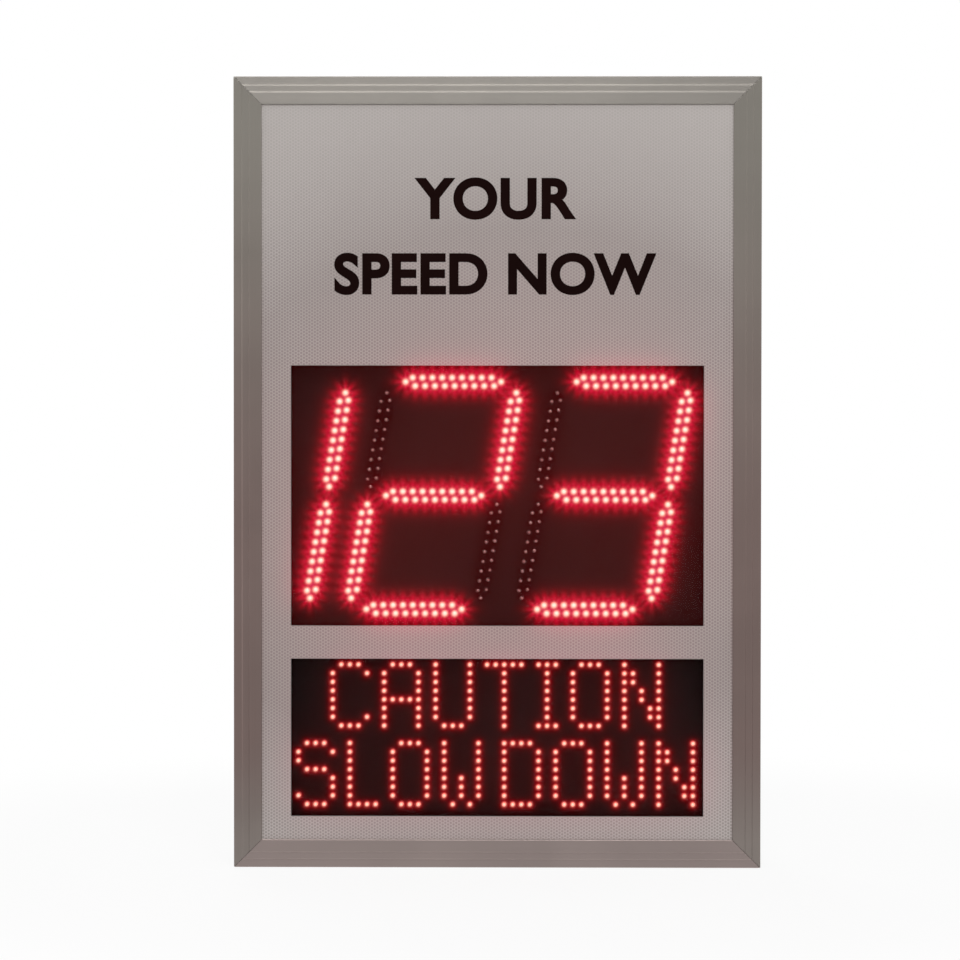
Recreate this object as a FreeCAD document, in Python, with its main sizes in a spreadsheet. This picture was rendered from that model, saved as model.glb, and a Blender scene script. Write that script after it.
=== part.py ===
import FreeCAD, Part
import math
import os
import re
import Sketcher

# Radar speed sign: a shallow aluminium cabinet with LED figures and an LED message, on two post rails.
# X runs to the right seen from the front, Y to the back and Z up.
# The origin is the centre of the post fixing, on the back plane of the rails.

# Driving dimensions, in millimetres unless the note says otherwise
SIZES = (
    ("sign_width", 600, "width over the frame"),
    ("sign_height", 900, "height over the frame"),
    ("frame_depth", 90, "front to back of the frame profile"),
    ("frame_wall", 1.8, "wall of the frame profile"),
    ("bezel_width", 32, "face of the frame seen from the front"),
    ("outer_land", 9, "lowest flat of the stepped face"),
    ("middle_land", 6.8, "middle flat of the stepped face"),
    ("step_depth", 1.2, "height and run of each step of the face"),
    ("edge_break", 0.5, "bevel on the long front edges of the frame"),
    ("mitre_gap", 0.2, "joint left open between two mitred ends"),
    ("rear_flange", 24, "flange that carries the rear cover"),
    ("panel_web_reach", 16, "web behind the edge of the front panel"),
    ("channel_setback", 8, "from the panel web to the bracket channel"),
    ("channel_lip", 3, "lip over each side of the corner bracket"),
    ("bracket_width", 30, "corner bracket across the channel"),
    ("bracket_thickness", 3, "plate of the corner bracket"),
    ("bracket_leg", 62, "leg of the corner bracket"),
    ("bracket_clearance", 0.2, "play of the corner bracket in its channel"),
    ("film_thickness", 0.4, "reflective film"),
    ("panel_thickness", 4, "front panel sheet"),
    ("panel_clearance", 0.3, "play of the panel in its groove"),
    ("panel_edge_gap", 1.5, "panel edge to the bottom of the groove"),
    ("window_side_margin", 65, "side of the frame to the windows"),
    ("message_window_rise", 58, "bottom of the frame to the message window"),
    ("message_window_height", 180, "message window"),
    ("window_gap", 37.5, "between the two windows"),
    ("digit_window_height", 296.5, "digit window"),
    ("pane_overlap", 16, "pane beyond the window, each side"),
    ("pane_thickness", 3, "clear pane"),
    ("seal_inset", 2, "window edge to the seal"),
    ("seal_width", 10, "seal between panel and pane"),
    ("seal_thickness", 1, "seal between panel and pane"),
    ("led_air_gap", 3, "pane to the tips of the LEDs"),
    ("led_height", 8.4, "LED above its board"),
    ("led_diameter", 5, "LED body"),
    ("led_tip_diameter", 3, "flat at the tip of the LED"),
    ("led_pitch", 11.25, "between LEDs along a segment"),
    ("led_row_gap", 9.45, "between the two rows of a segment"),
    ("led_stagger", 2.9, "one row of a segment ahead of the other"),
    ("led_columns", 9, "LEDs in each row, a count"),
    ("led_end_step", 9.4, "middle of the last pair to the LED at the segment's point"),
    ("segment_margin", 5.6, "board beyond its LEDs"),
    ("digit_slant", 9.8, "lean of the figures, in degrees"),
    ("digit_pitch", 195, "between neighbouring figures"),
    ("digit_shift", 24.9, "middle of the sign to the middle of tens and units"),
    ("digit_span", 148, "between the left and right segments of a figure"),
    ("digit_rise", 129.8, "between neighbouring level segments of a figure"),
    ("upright_rise", 127.3, "between the upper and lower upright segments of a figure"),
    ("board_thickness", 1.6, "printed boards"),
    ("board_standoff", 6, "carrier plate to the LED boards"),
    ("spacer_width", 6, "square spacers under the LED boards"),
    ("message_board_margin", 6, "message board beyond its window, each side"),
    ("message_spacer_inset", 14, "corner of the message board to its spacers"),
    ("plate_thickness", 2, "carrier plate"),
    ("plate_border", 10, "carrier plate beyond the panes, top and bottom"),
    ("plate_side_border", 19, "carrier plate beyond the panes, left and right"),
    ("standoff_offset", 10, "pane edge to the axis of the plate standoffs"),
    ("standoff_flats", 7, "across the flats of the standoffs"),
    ("standoff_end", 20, "plate end to the first standoff"),
    ("standoff_count", 4, "plate standoffs on each side, a count"),
    ("wire_slot_length", 48, "wire passages in the carrier plate"),
    ("wire_slot_height", 12, "wire passages in the carrier plate"),
    ("wire_slot_spacing", 235, "between the two wire passages"),
    ("controller_width", 170, "controller board"),
    ("controller_height", 110, "controller board"),
    ("controller_lift", 8, "controller board off the carrier plate"),
    ("controller_inset", 40, "carrier plate edge to the controller board"),
    ("controller_hole_inset", 6, "board corner to its standoffs"),
    ("connector_count", 3, "connectors on the controller board, a count"),
    ("connector_end", 25, "board end to the first connector"),
    ("connector_pitch", 42, "between connectors"),
    ("connector_width", 28, "connectors on the controller board"),
    ("connector_height", 12, "connectors on the controller board"),
    ("connector_depth", 12, "connectors off the controller board"),
    ("chip_width", 34, "square processor left of the board's middle"),
    ("driver_width", 28, "driver chip"),
    ("driver_height", 14, "driver chip"),
    ("driver_offset", 28, "board's middle to the driver chip"),
    ("chip_depth", 4, "chips off the controller board"),
    ("supply_width", 159, "power supply"),
    ("supply_height", 97, "power supply"),
    ("supply_depth", 30, "power supply"),
    ("supply_inset", 34, "carrier plate edge to the power supply"),
    ("supply_bay", 18, "terminal bay at one end of the power supply"),
    ("supply_bay_depth", 18, "terminal bay of the power supply"),
    ("supply_slot_width", 3, "vent slots of the power supply"),
    ("supply_slot_length", 64, "vent slots of the power supply"),
    ("supply_slot_pitch", 9, "between vent slots"),
    ("supply_slot_count", 12, "vent slots, a count"),
    ("supply_skin", 1.5, "sheet of the power supply case"),
    ("terminal_width", 72, "mains terminal block"),
    ("terminal_height", 22, "mains terminal block"),
    ("terminal_depth", 20, "mains terminal block"),
    ("terminal_inset", 40, "carrier plate edge to the terminal block"),
    ("terminal_pitch", 12, "between terminals"),
    ("terminal_count", 6, "terminals, a count"),
    ("well_width", 6, "wire well of a terminal"),
    ("well_height", 11, "wire well of a terminal"),
    ("well_depth", 10, "wire well of a terminal"),
    ("radar_width", 104, "radar module"),
    ("radar_height", 76, "radar module"),
    ("radar_depth", 28, "radar module"),
    ("radar_gap", 2, "front panel to the radar module"),
    ("radar_ear", 14, "mounting ear of the radar module"),
    ("radar_ear_thickness", 3, "mounting ear of the radar module"),
    ("radar_ear_lift", 6, "front panel to the ears of the radar module"),
    ("gasket_thickness", 2, "rear cover gasket"),
    ("gasket_inset", 16, "frame edge to the gasket"),
    ("cover_thickness", 2, "rear cover"),
    ("cover_inset", 3, "frame edge to the rear cover"),
    ("fixing_edge", 9, "frame edge to the cover screws and rail bolts"),
    ("cover_screw_size", 4, "thread of the cover screws"),
    ("cover_screw_end", 60, "frame corner to the first side screw"),
    ("cover_screw_end_short", 150, "frame corner to the first top or bottom screw"),
    ("cover_screw_flats", 7, "across the flats of the screw heads"),
    ("cover_screw_head", 3, "height of the screw heads"),
    ("screw_reach", 4, "screw beyond the wall it is cut into"),
    ("hole_clearance", 0.5, "hole over its screw or bolt"),
    ("rail_spacing", 500, "between the two rails"),
    ("rail_depth", 30, "rail, back of the cover to the post plane"),
    ("rail_face", 52, "face of the rail against the post"),
    ("rail_brim", 22, "brim of the rail on the cover"),
    ("rail_sheet", 2.5, "sheet of the rails"),
    ("rail_bend", 2, "inside bend of the rails"),
    ("rail_inset", 4, "frame edge to the end of a rail"),
    ("post_slot_spacing", 120, "between the clamp slots of a rail"),
    ("post_slot_length", 50, "clamp slot, end to end"),
    ("post_slot_width", 9, "clamp slot"),
    ("rail_bolt_size", 6, "thread of the rail bolts"),
    ("rail_bolt_flats", 10, "across the flats of bolt heads and nuts"),
    ("rail_bolt_head", 4, "height of the bolt heads"),
    ("rail_nut_height", 5, "height of the nuts"),
    ("gland_side", 90, "side of the frame to the cable gland"),
    ("gland_rise", 70, "bottom of the frame to the cable gland"),
    ("gland_thread", 20, "thread of the cable gland"),
    ("gland_bore", 13, "bore of the gland body"),
    ("gland_flats", 24, "across the flats of the gland body"),
    ("gland_collar", 6, "hexagon of the gland body"),
    ("gland_tail", 12, "thread of the gland body through the cover"),
    ("gland_cap_flats", 26, "across the flats of the cap and locknut"),
    ("gland_locknut", 5, "locknut"),
    ("gland_cap", 16, "length of the cap"),
    ("cable_bore", 10, "bore of the cap, for the cable"),
)

# Sizes and places that follow from the driving dimensions
DERIVED = {
    "half_width": "sign_width / 2",
    "half_height": "sign_height / 2",
    "bezel_back": "2 * step_depth + frame_wall",
    "panel_front": "bezel_back + film_thickness",
    "panel_back": "panel_front + panel_thickness",
    "groove_back": "panel_back + panel_clearance",
    "web_back": "groove_back + frame_wall",
    "channel_rib": "web_back + channel_setback",
    "channel_start": "channel_rib + frame_wall",
    "channel_end": "channel_start + bracket_width + bracket_clearance",
    "channel_middle": "(channel_start + channel_end) / 2",
    "lip_inside": "frame_wall + bracket_thickness + bracket_clearance",
    "lip_outside": "lip_inside + frame_wall",
    "flange_front": "frame_depth - frame_wall",
    "cover_back": "-rail_depth",
    "cover_front": "cover_back - cover_thickness",
    "frame_back": "cover_front - gasket_thickness",
    "frame_front": "frame_back - frame_depth",
    "panel_half_width": "half_width - frame_wall - panel_edge_gap",
    "panel_half_height": "half_height - frame_wall - panel_edge_gap",
    "window_half": "half_width - window_side_margin",
    "message_low": "message_window_rise - half_height",
    "message_high": "message_low + message_window_height",
    "digit_low": "message_high + window_gap",
    "digit_high": "digit_low + digit_window_height",
    "digit_middle": "(digit_low + digit_high) / 2",
    "pane_back": "panel_back + seal_thickness + pane_thickness",
    "board_front": "pane_back + led_air_gap + led_height",
    "board_back": "board_front + board_thickness",
    "plate_front": "board_back + board_standoff",
    "plate_back": "plate_front + plate_thickness",
    "pane_half": "window_half + pane_overlap",
    "plate_half": "pane_half + plate_side_border",
    "plate_low": "message_low - pane_overlap - plate_border",
    "plate_high": "digit_high + pane_overlap + plate_border",
    "standoff_x": "pane_half + standoff_offset",
    "standoff_pitch": "(plate_high - plate_low - 2 * standoff_end) / (standoff_count - 1)",
    "slant": "tan(digit_slant * 1 deg)",
    "lean_across": "sin(digit_slant * 1 deg)",
    "lean_up": "cos(digit_slant * 1 deg)",
    "segment_half_length": "(led_columns - 1) * led_pitch / 2 + led_end_step + segment_margin",
    "segment_half_width": "led_row_gap / 2 + segment_margin",
    "radar_middle": "(digit_high + pane_overlap + half_height - panel_web_reach) / 2",
    "rail_half": "half_width - rail_inset",
    "brim_middle": "rail_face / 2 + rail_brim / 2",
    "fixing_x": "half_width - fixing_edge",
    "fixing_z": "half_height - fixing_edge",
    "gland_x": "half_width - gland_side",
    "gland_z": "gland_rise - half_height",
    "terminal_row": "terminal_pitch * (terminal_count - 1)",
}

ALIASES = {alias for alias, size, note in SIZES}
WORD = re.compile(r"[a-z_]+")

# A figure's seven segments: place across in half spans, height over the middle, and whether each lies level
SEGMENTS = {
    "top": (0, "digit_rise", True),
    "upper_right": (1, "upright_rise / 2", False),
    "lower_right": (1, "-upright_rise / 2", False),
    "bottom": (0, "-digit_rise", True),
    "lower_left": (-1, "-upright_rise / 2", False),
    "upper_left": (-1, "upright_rise / 2", False),
    "middle": (0, "0", True),
}

# The figures: place in digit pitches from the middle of tens and units, and the segments each one has
FIGURES = {
    "hundreds": (-1.5, ("upper_right", "lower_right")),
    "tens": (-0.5, tuple(SEGMENTS)),
    "units": (0.5, tuple(SEGMENTS)),
}

doc = FreeCAD.newDocument("RadarSpeedSign")
sheet = doc.addObject("Spreadsheet::Sheet", "Sizes")
for row, (alias, size, note) in enumerate(SIZES, start=1):
    sheet.set(f"A{row}", note)
    sheet.set(f"B{row}", str(size))
    sheet.setAlias(f"B{row}", alias)
doc.recompute()

sub_parts = []


def bound(text):
    """Turns words such as half_width into an expression of the sheet's cells."""
    def replace(match):
        word = match.group(0)
        if word in DERIVED:
            return f"({bound(DERIVED[word])})"
        return f"Sizes.{word}" if word in ALIASES else word
    return WORD.sub(replace, text)


def number(text):
    """The value of an expression, in millimetres."""
    result = sheet.evalExpression(bound(text))
    return float(getattr(result, "Value", result))


def new_body(label, x="0", y="0", z="0", turn=None):
    """A sub-part whose place follows the sheet; turn is an axis and an angle in degrees."""
    body = doc.addObject("PartDesign::Body", label)
    body.Label = label
    if turn:
        body.Placement.Rotation = FreeCAD.Rotation(*turn)
    for axis, text in zip("xyz", (x, y, z)):
        body.setExpression(f"Placement.Base.{axis}", bound(text))
    sub_parts.append(body)
    return body


def new_sketch(body, plane="XZ_Plane", offset="0"):
    """A sketch on one of the body's own planes, moved along the plane's normal."""
    sketch = body.newObject("Sketcher::SketchObject", f"{body.Name}_sketch")
    support = next(item for item in body.Origin.OriginFeatures if item.Role == plane)
    sketch.AttachmentSupport = (support, [""])
    sketch.MapMode = "FlatFace"
    sketch.setExpression("AttachmentOffset.Base.z", bound(offset))
    return sketch


def dimension(sketch, kind, text, *geometry):
    """Adds one driving constraint and ties it to the sheet."""
    index = sketch.addConstraint(Sketcher.Constraint(kind, *geometry, number(text)))
    sketch.setExpression(f"Constraints[{index}]", bound(text))


def place_point(sketch, geometry, point, x, y):
    """Holds a point of the sketch at x, y from the sketch's origin."""
    dimension(sketch, "DistanceX", x, -1, 1, geometry, point)
    dimension(sketch, "DistanceY", y, -1, 1, geometry, point)


def polygon(sketch, corners):
    """A closed outline through corners given as pairs of expressions."""
    first = sketch.GeometryCount
    count = len(corners)
    points = [FreeCAD.Vector(number(x), number(y), 0) for x, y in corners]
    for index in range(count):
        sketch.addGeometry(Part.LineSegment(points[index], points[(index + 1) % count]), False)
    for index in range(count):
        following = first + (index + 1) % count
        sketch.addConstraint(Sketcher.Constraint("Coincident", first + index, 2, following, 1))
    for index, (x, y) in enumerate(corners):
        place_point(sketch, first + index, 1, x, y)


def rectangle(sketch, left, right, low, high):
    """A rectangle with square corners."""
    polygon(sketch, ((left, low), (right, low), (right, high), (left, high)))


def hexagon(sketch, flats, x="0", y="0", upright=False):
    """A hexagon with two sides level, or two sides upright."""
    point = f"{flats} / sqrt(3)"
    half_side = f"{flats} / sqrt(3) / 2"
    corners = (
        (point, "0"), (half_side, f"{flats} / 2"), (f"-{half_side}", f"{flats} / 2"),
        (f"-{point}", "0"), (f"-{half_side}", f"-{flats} / 2"), (half_side, f"-{flats} / 2"),
    )
    if upright:
        corners = [(across, up) for up, across in corners]
    polygon(sketch, [(f"{x} + {across}", f"{y} + {up}") for across, up in corners])


def circle(sketch, diameter, x="0", y="0"):
    """A circle about x, y."""
    centre = FreeCAD.Vector(number(x), number(y), 0)
    index = sketch.addGeometry(Part.Circle(centre, FreeCAD.Vector(0, 0, 1), number(diameter) / 2), False)
    place_point(sketch, index, 3, x, y)
    dimension(sketch, "Radius", f"({diameter}) / 2", index)


def slot(sketch, middle, length, width):
    """A level slot with round ends, about a middle on the sketch's X axis."""
    first = sketch.GeometryCount
    reach = f"({length} - {width}) / 2"
    radius = number(width) / 2
    right = FreeCAD.Vector(number(f"{middle} + {reach}"), 0, 0)
    left = FreeCAD.Vector(number(f"{middle} - {reach}"), 0, 0)
    rise = FreeCAD.Vector(0, radius, 0)
    for end, start_angle in ((right, -math.pi / 2), (left, math.pi / 2)):
        full = Part.Circle(end, FreeCAD.Vector(0, 0, 1), radius)
        sketch.addGeometry(Part.ArcOfCircle(full, start_angle, start_angle + math.pi), False)
    sketch.addGeometry(Part.LineSegment(right + rise, left + rise), False)
    sketch.addGeometry(Part.LineSegment(left - rise, right - rise), False)
    for before, after in ((0, 2), (2, 1), (1, 3), (3, 0)):
        sketch.addConstraint(Sketcher.Constraint("Tangent", first + before, 2, first + after, 1))
    sketch.addConstraint(Sketcher.Constraint("Equal", first, first + 1))
    place_point(sketch, first, 3, f"{middle} + {reach}", "0")
    place_point(sketch, first + 1, 3, f"{middle} - {reach}", "0")
    dimension(sketch, "Radius", f"{width} / 2", first)


def pad(sketch, length, symmetric=False, backwards=False):
    """Adds material; on an XZ sketch it grows to the front, or to the back if backwards."""
    body = sketch.getParentGeoFeatureGroup()
    feature = body.newObject("PartDesign::Pad", f"{body.Name}_pad")
    feature.Profile = sketch
    feature.setExpression("Length", bound(length))
    feature.SideType = "Symmetric" if symmetric else "One side"
    feature.Reversed = backwards
    return feature


def pocket(sketch, length=None):
    """Takes material away to the front, or right through where no length is given."""
    body = sketch.getParentGeoFeatureGroup()
    doc.recompute()
    before = body.Shape.Volume
    feature = body.newObject("PartDesign::Pocket", f"{body.Name}_pocket")
    feature.Profile = sketch
    if length:
        feature.setExpression("Length", bound(length))
        feature.Reversed = True
    else:
        feature.Type = "ThroughAll"
        feature.SideType = "Symmetric"
    doc.recompute()
    if body.Shape.Volume >= before:
        raise RuntimeError(f"{feature.Name} cuts nothing")
    return feature


def row_of(feature, axis, length, count):
    """Repeats a feature along one of the body's own axes."""
    body = feature.getParentGeoFeatureGroup()
    pattern = body.newObject("PartDesign::LinearPattern", f"{body.Name}_row")
    pattern.Originals = [feature]
    direction = next(item for item in body.Origin.OriginFeatures if item.Role == axis)
    pattern.Direction = (direction, [""])
    pattern.setExpression("Length", bound(length))
    pattern.setExpression("Occurrences", bound(count))
    body.Tip = pattern
    return pattern


def round_edges(feature, radius, wanted):
    """Rounds the straight edges of a feature whose middle point the test wanted accepts."""
    body = feature.getParentGeoFeatureGroup()
    doc.recompute()
    names = []
    for index, edge in enumerate(feature.Shape.Edges, start=1):
        if wanted(edge.CenterOfMass):
            names.append(f"Edge{index}")
    fillet = body.newObject("PartDesign::Fillet", f"{body.Name}_fillet")
    fillet.Base = (feature, names)
    fillet.setExpression("Radius", bound(radius))
    return fillet


def near(value, *texts):
    """Whether a measured value is one of the sizes given."""
    return any(abs(value - number(text)) < 1e-4 for text in texts)


def new_group(label, solids):
    """A sub-part made of several like solids, given in the part's own frame."""
    group = doc.addObject("Part::Feature", label)
    group.Label = label
    group.Shape = Part.makeCompound(solids)
    group.Placement = FreeCAD.Placement()
    sub_parts.append(group)


def signs(*texts):
    """Each expression with both signs."""
    return [f"{sign}({text})" for text in texts for sign in ("-", "")]


# Frame: one mitred profile on each side

FRAME_SIDES = {
    "left_frame_profile": ("-half_width", "0", 0, "sign_height", "side"),
    "right_frame_profile": ("half_width", "0", 180, "sign_height", "side"),
    "top_frame_profile": ("0", "half_height", 90, "sign_width", "end"),
    "bottom_frame_profile": ("0", "-half_height", -90, "sign_width", "end"),
}
ALONG_Y = FreeCAD.Vector(0, 1, 0)

# Section of the profile: distance in from the side of the sign, then distance behind the front
PROFILE = (
    ("0", "2 * step_depth + edge_break"),
    ("edge_break", "2 * step_depth"),
    ("outer_land", "2 * step_depth"),
    ("outer_land + step_depth", "step_depth"),
    ("outer_land + step_depth + middle_land", "step_depth"),
    ("outer_land + 2 * step_depth + middle_land", "0"),
    ("bezel_width - edge_break", "0"),
    ("bezel_width", "edge_break"),
    ("bezel_width", "bezel_back"),
    ("frame_wall", "bezel_back"),
    ("frame_wall", "groove_back"),
    ("panel_web_reach", "groove_back"),
    ("panel_web_reach", "web_back"),
    ("frame_wall", "web_back"),
    ("frame_wall", "channel_rib"),
    ("lip_outside", "channel_rib"),
    ("lip_outside", "channel_start + channel_lip"),
    ("lip_inside", "channel_start + channel_lip"),
    ("lip_inside", "channel_start"),
    ("frame_wall", "channel_start"),
    ("frame_wall", "channel_end"),
    ("lip_inside", "channel_end"),
    ("lip_inside", "channel_end - channel_lip"),
    ("lip_outside", "channel_end - channel_lip"),
    ("lip_outside", "channel_end + frame_wall"),
    ("frame_wall", "channel_end + frame_wall"),
    ("frame_wall", "flange_front"),
    ("rear_flange", "flange_front"),
    ("rear_flange", "frame_depth"),
    ("0", "frame_depth"),
)

# Places along each side of the frame, from the middle of that side
SIDE_SCREWS = ["0"] + signs("half_height - cover_screw_end")
END_SCREWS = signs("half_width - cover_screw_end_short")
RAIL_BOLTS = signs("rail_spacing / 2 - brim_middle", "rail_spacing / 2 + brim_middle")


def frame_profile(label, x, z, angle, length, kind):
    """One side of the frame, drawn upright on the left and turned into its place."""
    body = new_body(label, x, "frame_front", z, (ALONG_Y, angle))
    section = new_sketch(body, "XY_Plane")
    polygon(section, PROFILE)
    pad(section, length, symmetric=True)

    mitres = new_sketch(body)
    end = f"{length} / 2 - mitre_gap"
    for sign in ("-", ""):
        polygon(mitres, (
            ("-bezel_width", f"{sign}({end} + bezel_width)"),
            ("2 * bezel_width", f"{sign}({end} - 2 * bezel_width)"),
            ("2 * bezel_width", f"{sign}({end} + bezel_width)"),
        ))
    pocket(mitres)

    cover_holes = new_sketch(body, "XZ_Plane", "-frame_depth")
    for place in SIDE_SCREWS if kind == "side" else END_SCREWS:
        hexagon(cover_holes, "cover_screw_size", "fixing_edge", place, upright=kind == "end")
    if kind == "side":
        for place in RAIL_BOLTS:
            hexagon(cover_holes, "(rail_bolt_size + hole_clearance)", "fixing_edge", place)
    pocket(cover_holes, "frame_wall")


for label, side in FRAME_SIDES.items():
    frame_profile(label, *side)

# Corner brackets: angle cleats pressed into the channels of two profiles

CORNERS = {
    "bottom_left": (-1, -1, 0),
    "top_left": (-1, 1, 90),
    "top_right": (1, 1, 180),
    "bottom_right": (1, -1, -90),
}


def corner_bracket(label, side, level, angle):
    """A right-angle cleat, drawn at the lower left corner."""
    x = f"{side} * (half_width - frame_wall)"
    z = f"{level} * (half_height - frame_wall)"
    body = new_body(label, x, "frame_front + channel_middle", z, (ALONG_Y, angle))
    section = new_sketch(body)
    polygon(section, (
        ("0", "0"), ("bracket_leg", "0"), ("bracket_leg", "bracket_thickness"),
        ("bracket_thickness", "bracket_thickness"), ("bracket_thickness", "bracket_leg"), ("0", "bracket_leg"),
    ))
    pad(section, "bracket_width", symmetric=True)


for corner, place in CORNERS.items():
    corner_bracket(f"{corner}_corner_bracket", *place)

# Front: panel, film, seals and panes

WINDOWS = {
    "digit": ("digit_low", "digit_high"),
    "message": ("message_low", "message_high"),
}


def sheet_outline(label, back):
    """The sketch of a flat sheet whose back lies the given distance behind the front of the frame."""
    return new_sketch(new_body(label, y=f"frame_front + {back}"))


def window(sketch, low, high, grow="0"):
    """The outline of a window, moved out by grow on every side."""
    rectangle(sketch, f"-(window_half + {grow})", f"window_half + {grow}", f"{low} - {grow}", f"{high} + {grow}")


for label, back, thickness in (
    ("front_panel", "panel_back", "panel_thickness"),
    ("reflective_film", "panel_front", "film_thickness"),
):
    outline = sheet_outline(label, back)
    rectangle(outline, "-panel_half_width", "panel_half_width", "-panel_half_height", "panel_half_height")
    for low, high in WINDOWS.values():
        window(outline, low, high)
    pad(outline, thickness)

for name, (low, high) in WINDOWS.items():
    outline = sheet_outline(f"{name}_window_seal", "panel_back + seal_thickness")
    window(outline, low, high, "seal_inset")
    window(outline, low, high, "(seal_inset + seal_width)")
    pad(outline, "seal_thickness")

    outline = sheet_outline(f"{name}_window_pane", "pane_back")
    window(outline, low, high, "pane_overlap")
    pad(outline, "pane_thickness")

# Display: carrier plate, standoffs, boards and LEDs

outline = sheet_outline("display_carrier_plate", "plate_back")
rectangle(outline, "-plate_half", "plate_half", "plate_low", "plate_high")
for sign in (-1, 1):
    x = f"{sign} * wire_slot_spacing / 2"
    z = "digit_low - window_gap / 2"
    rectangle(
        outline, f"{x} - wire_slot_length / 2", f"{x} + wire_slot_length / 2",
        f"{z} - wire_slot_height / 2", f"{z} + wire_slot_height / 2")
pad(outline, "plate_thickness")

body = new_body("carrier_standoffs", y="frame_front + plate_front")
outline = new_sketch(body)
for x in signs("standoff_x"):
    for step in range(int(number("standoff_count"))):
        place = f"plate_low + standoff_end + {step} * standoff_pitch"
        hexagon(outline, "standoff_flats", x, place)
pad(outline, "plate_front - panel_back")


def segment_point(pitches, segment, along, beside):
    """A point of a segment: along its length, then to the right of an upright one or below a level one."""
    half_spans, height, level = segment
    x = f"digit_shift + {pitches} * digit_pitch + {half_spans} * digit_span / 2 + ({height}) * slant"
    z = f"digit_middle + ({height})"
    if level:
        return f"{x} + ({along})", f"{z} - ({beside})"
    return (
        f"{x} + ({along}) * lean_across + ({beside}) * lean_up",
        f"{z} + ({along}) * lean_up - ({beside}) * lean_across",
    )


def segment_board(sketch, pitches, segment):
    """The pointed board of one segment."""
    shoulder = "(segment_half_length - segment_half_width)"
    outline = (
        ("segment_half_length", "0"), (shoulder, "segment_half_width"), (f"-{shoulder}", "segment_half_width"),
        ("-segment_half_length", "0"), (f"-{shoulder}", "-segment_half_width"), (shoulder, "-segment_half_width"),
    )
    polygon(sketch, [segment_point(pitches, segment, *point) for point in outline])


def led_places():
    """The LEDs of a segment: one at each point and two staggered rows between, along and beside."""
    columns = int(number("led_columns"))
    places = []
    for sign in ("-", ""):
        places.append((f"{sign}((led_columns - 1) * led_pitch / 2 + led_end_step)", "0"))
    for column in range(columns):
        for sign in ("-", ""):
            along = f"({column} - (led_columns - 1) / 2) * led_pitch + {sign}(led_stagger / 2)"
            places.append((along, f"{sign}(led_row_gap / 2)"))
    return places


def led():
    """One LED, a six-sided body that narrows to its tip, standing on the origin and pointing forward."""
    rings = []
    for diameter, height in (("led_diameter", "0"), ("led_tip_diameter", "led_height")):
        radius = number(diameter) / 2
        corners = []
        for index in range(7):
            angle = index * math.pi / 3
            corners.append(FreeCAD.Vector(radius * math.cos(angle), -number(height), radius * math.sin(angle)))
        rings.append(corners)
    foot, tip = rings
    faces = [Part.Face(Part.makePolygon(foot)), Part.Face(Part.makePolygon(tip))]
    for index in range(6):
        side = (foot[index], foot[index + 1], tip[index + 1], tip[index], foot[index])
        faces.append(Part.Face(Part.makePolygon(side)))
    return Part.makeSolid(Part.makeShell(faces))


led_solid = led()
led_seats = led_places()
for figure, (pitches, names) in FIGURES.items():
    body = new_body(f"{figure}_segment_boards", y="frame_front + board_back")
    outline = new_sketch(body)
    for name in names:
        segment_board(outline, pitches, SEGMENTS[name])
    pad(outline, "board_thickness")

    for name in names:
        solids = []
        for along, beside in led_seats:
            x, z = segment_point(pitches, SEGMENTS[name], along, beside)
            solid = led_solid.copy()
            solid.translate(FreeCAD.Vector(number(x), number("frame_front + board_front"), number(z)))
            solids.append(solid)
        new_group(f"{figure}_{name}_leds", solids)

outline = sheet_outline("message_board", "board_back")
rectangle(
    outline, "-(window_half + message_board_margin)", "window_half + message_board_margin",
    "message_low - message_board_margin", "message_high + message_board_margin")
pad(outline, "board_thickness")


def board_spacers():
    """Square posts between the carrier plate and the LED boards."""
    places = []
    for pitches, names in FIGURES.values():
        for name in names:
            for along in signs("(led_columns - 1) * led_pitch / 2"):
                places.append(segment_point(pitches, SEGMENTS[name], along, "0"))
    for x in ["0"] + signs("window_half + message_board_margin - message_spacer_inset"):
        places.append((x, "message_low - message_board_margin + message_spacer_inset"))
        places.append((x, "message_high + message_board_margin - message_spacer_inset"))
    width = number("spacer_width")
    solids = []
    for x, z in places:
        corner = FreeCAD.Vector(number(x) - width / 2, number("frame_front + board_back"), number(z) - width / 2)
        solids.append(Part.makeBox(width, number("board_standoff"), width, corner))
    return solids


new_group("board_spacers", board_spacers())

# Electronics on the back of the carrier plate and behind the front panel

CONTROLLER_X = "plate_half - controller_inset - controller_width / 2"
CONTROLLER_Z = "plate_high - controller_inset - controller_height / 2"

body = new_body("controller_standoffs", y="frame_front + plate_back")
outline = new_sketch(body)
for x in signs("controller_width / 2 - controller_hole_inset"):
    for z in signs("controller_height / 2 - controller_hole_inset"):
        hexagon(outline, "standoff_flats", f"{CONTROLLER_X} + {x}", f"{CONTROLLER_Z} + {z}")
pad(outline, "controller_lift", backwards=True)

body = new_body("controller_board", CONTROLLER_X, "frame_front + plate_back + controller_lift", CONTROLLER_Z)
outline = new_sketch(body)
rectangle(
    outline, "-controller_width / 2", "controller_width / 2", "-controller_height / 2", "controller_height / 2")
pad(outline, "board_thickness", backwards=True)
connectors = new_sketch(body, "XZ_Plane", "-board_thickness")
for step in range(int(number("connector_count"))):
    left = f"-controller_width / 2 + connector_end + {step} * connector_pitch"
    low = "-controller_height / 2 + controller_hole_inset"
    rectangle(connectors, left, f"{left} + connector_width", low, f"{low} + connector_height")
pad(connectors, "connector_depth", backwards=True)
chips = new_sketch(body, "XZ_Plane", "-board_thickness")
rectangle(chips, "-chip_width", "0", "0", "chip_width")
rectangle(chips, "driver_offset", "driver_offset + driver_width", "0", "driver_height")
pad(chips, "chip_depth", backwards=True)

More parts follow.
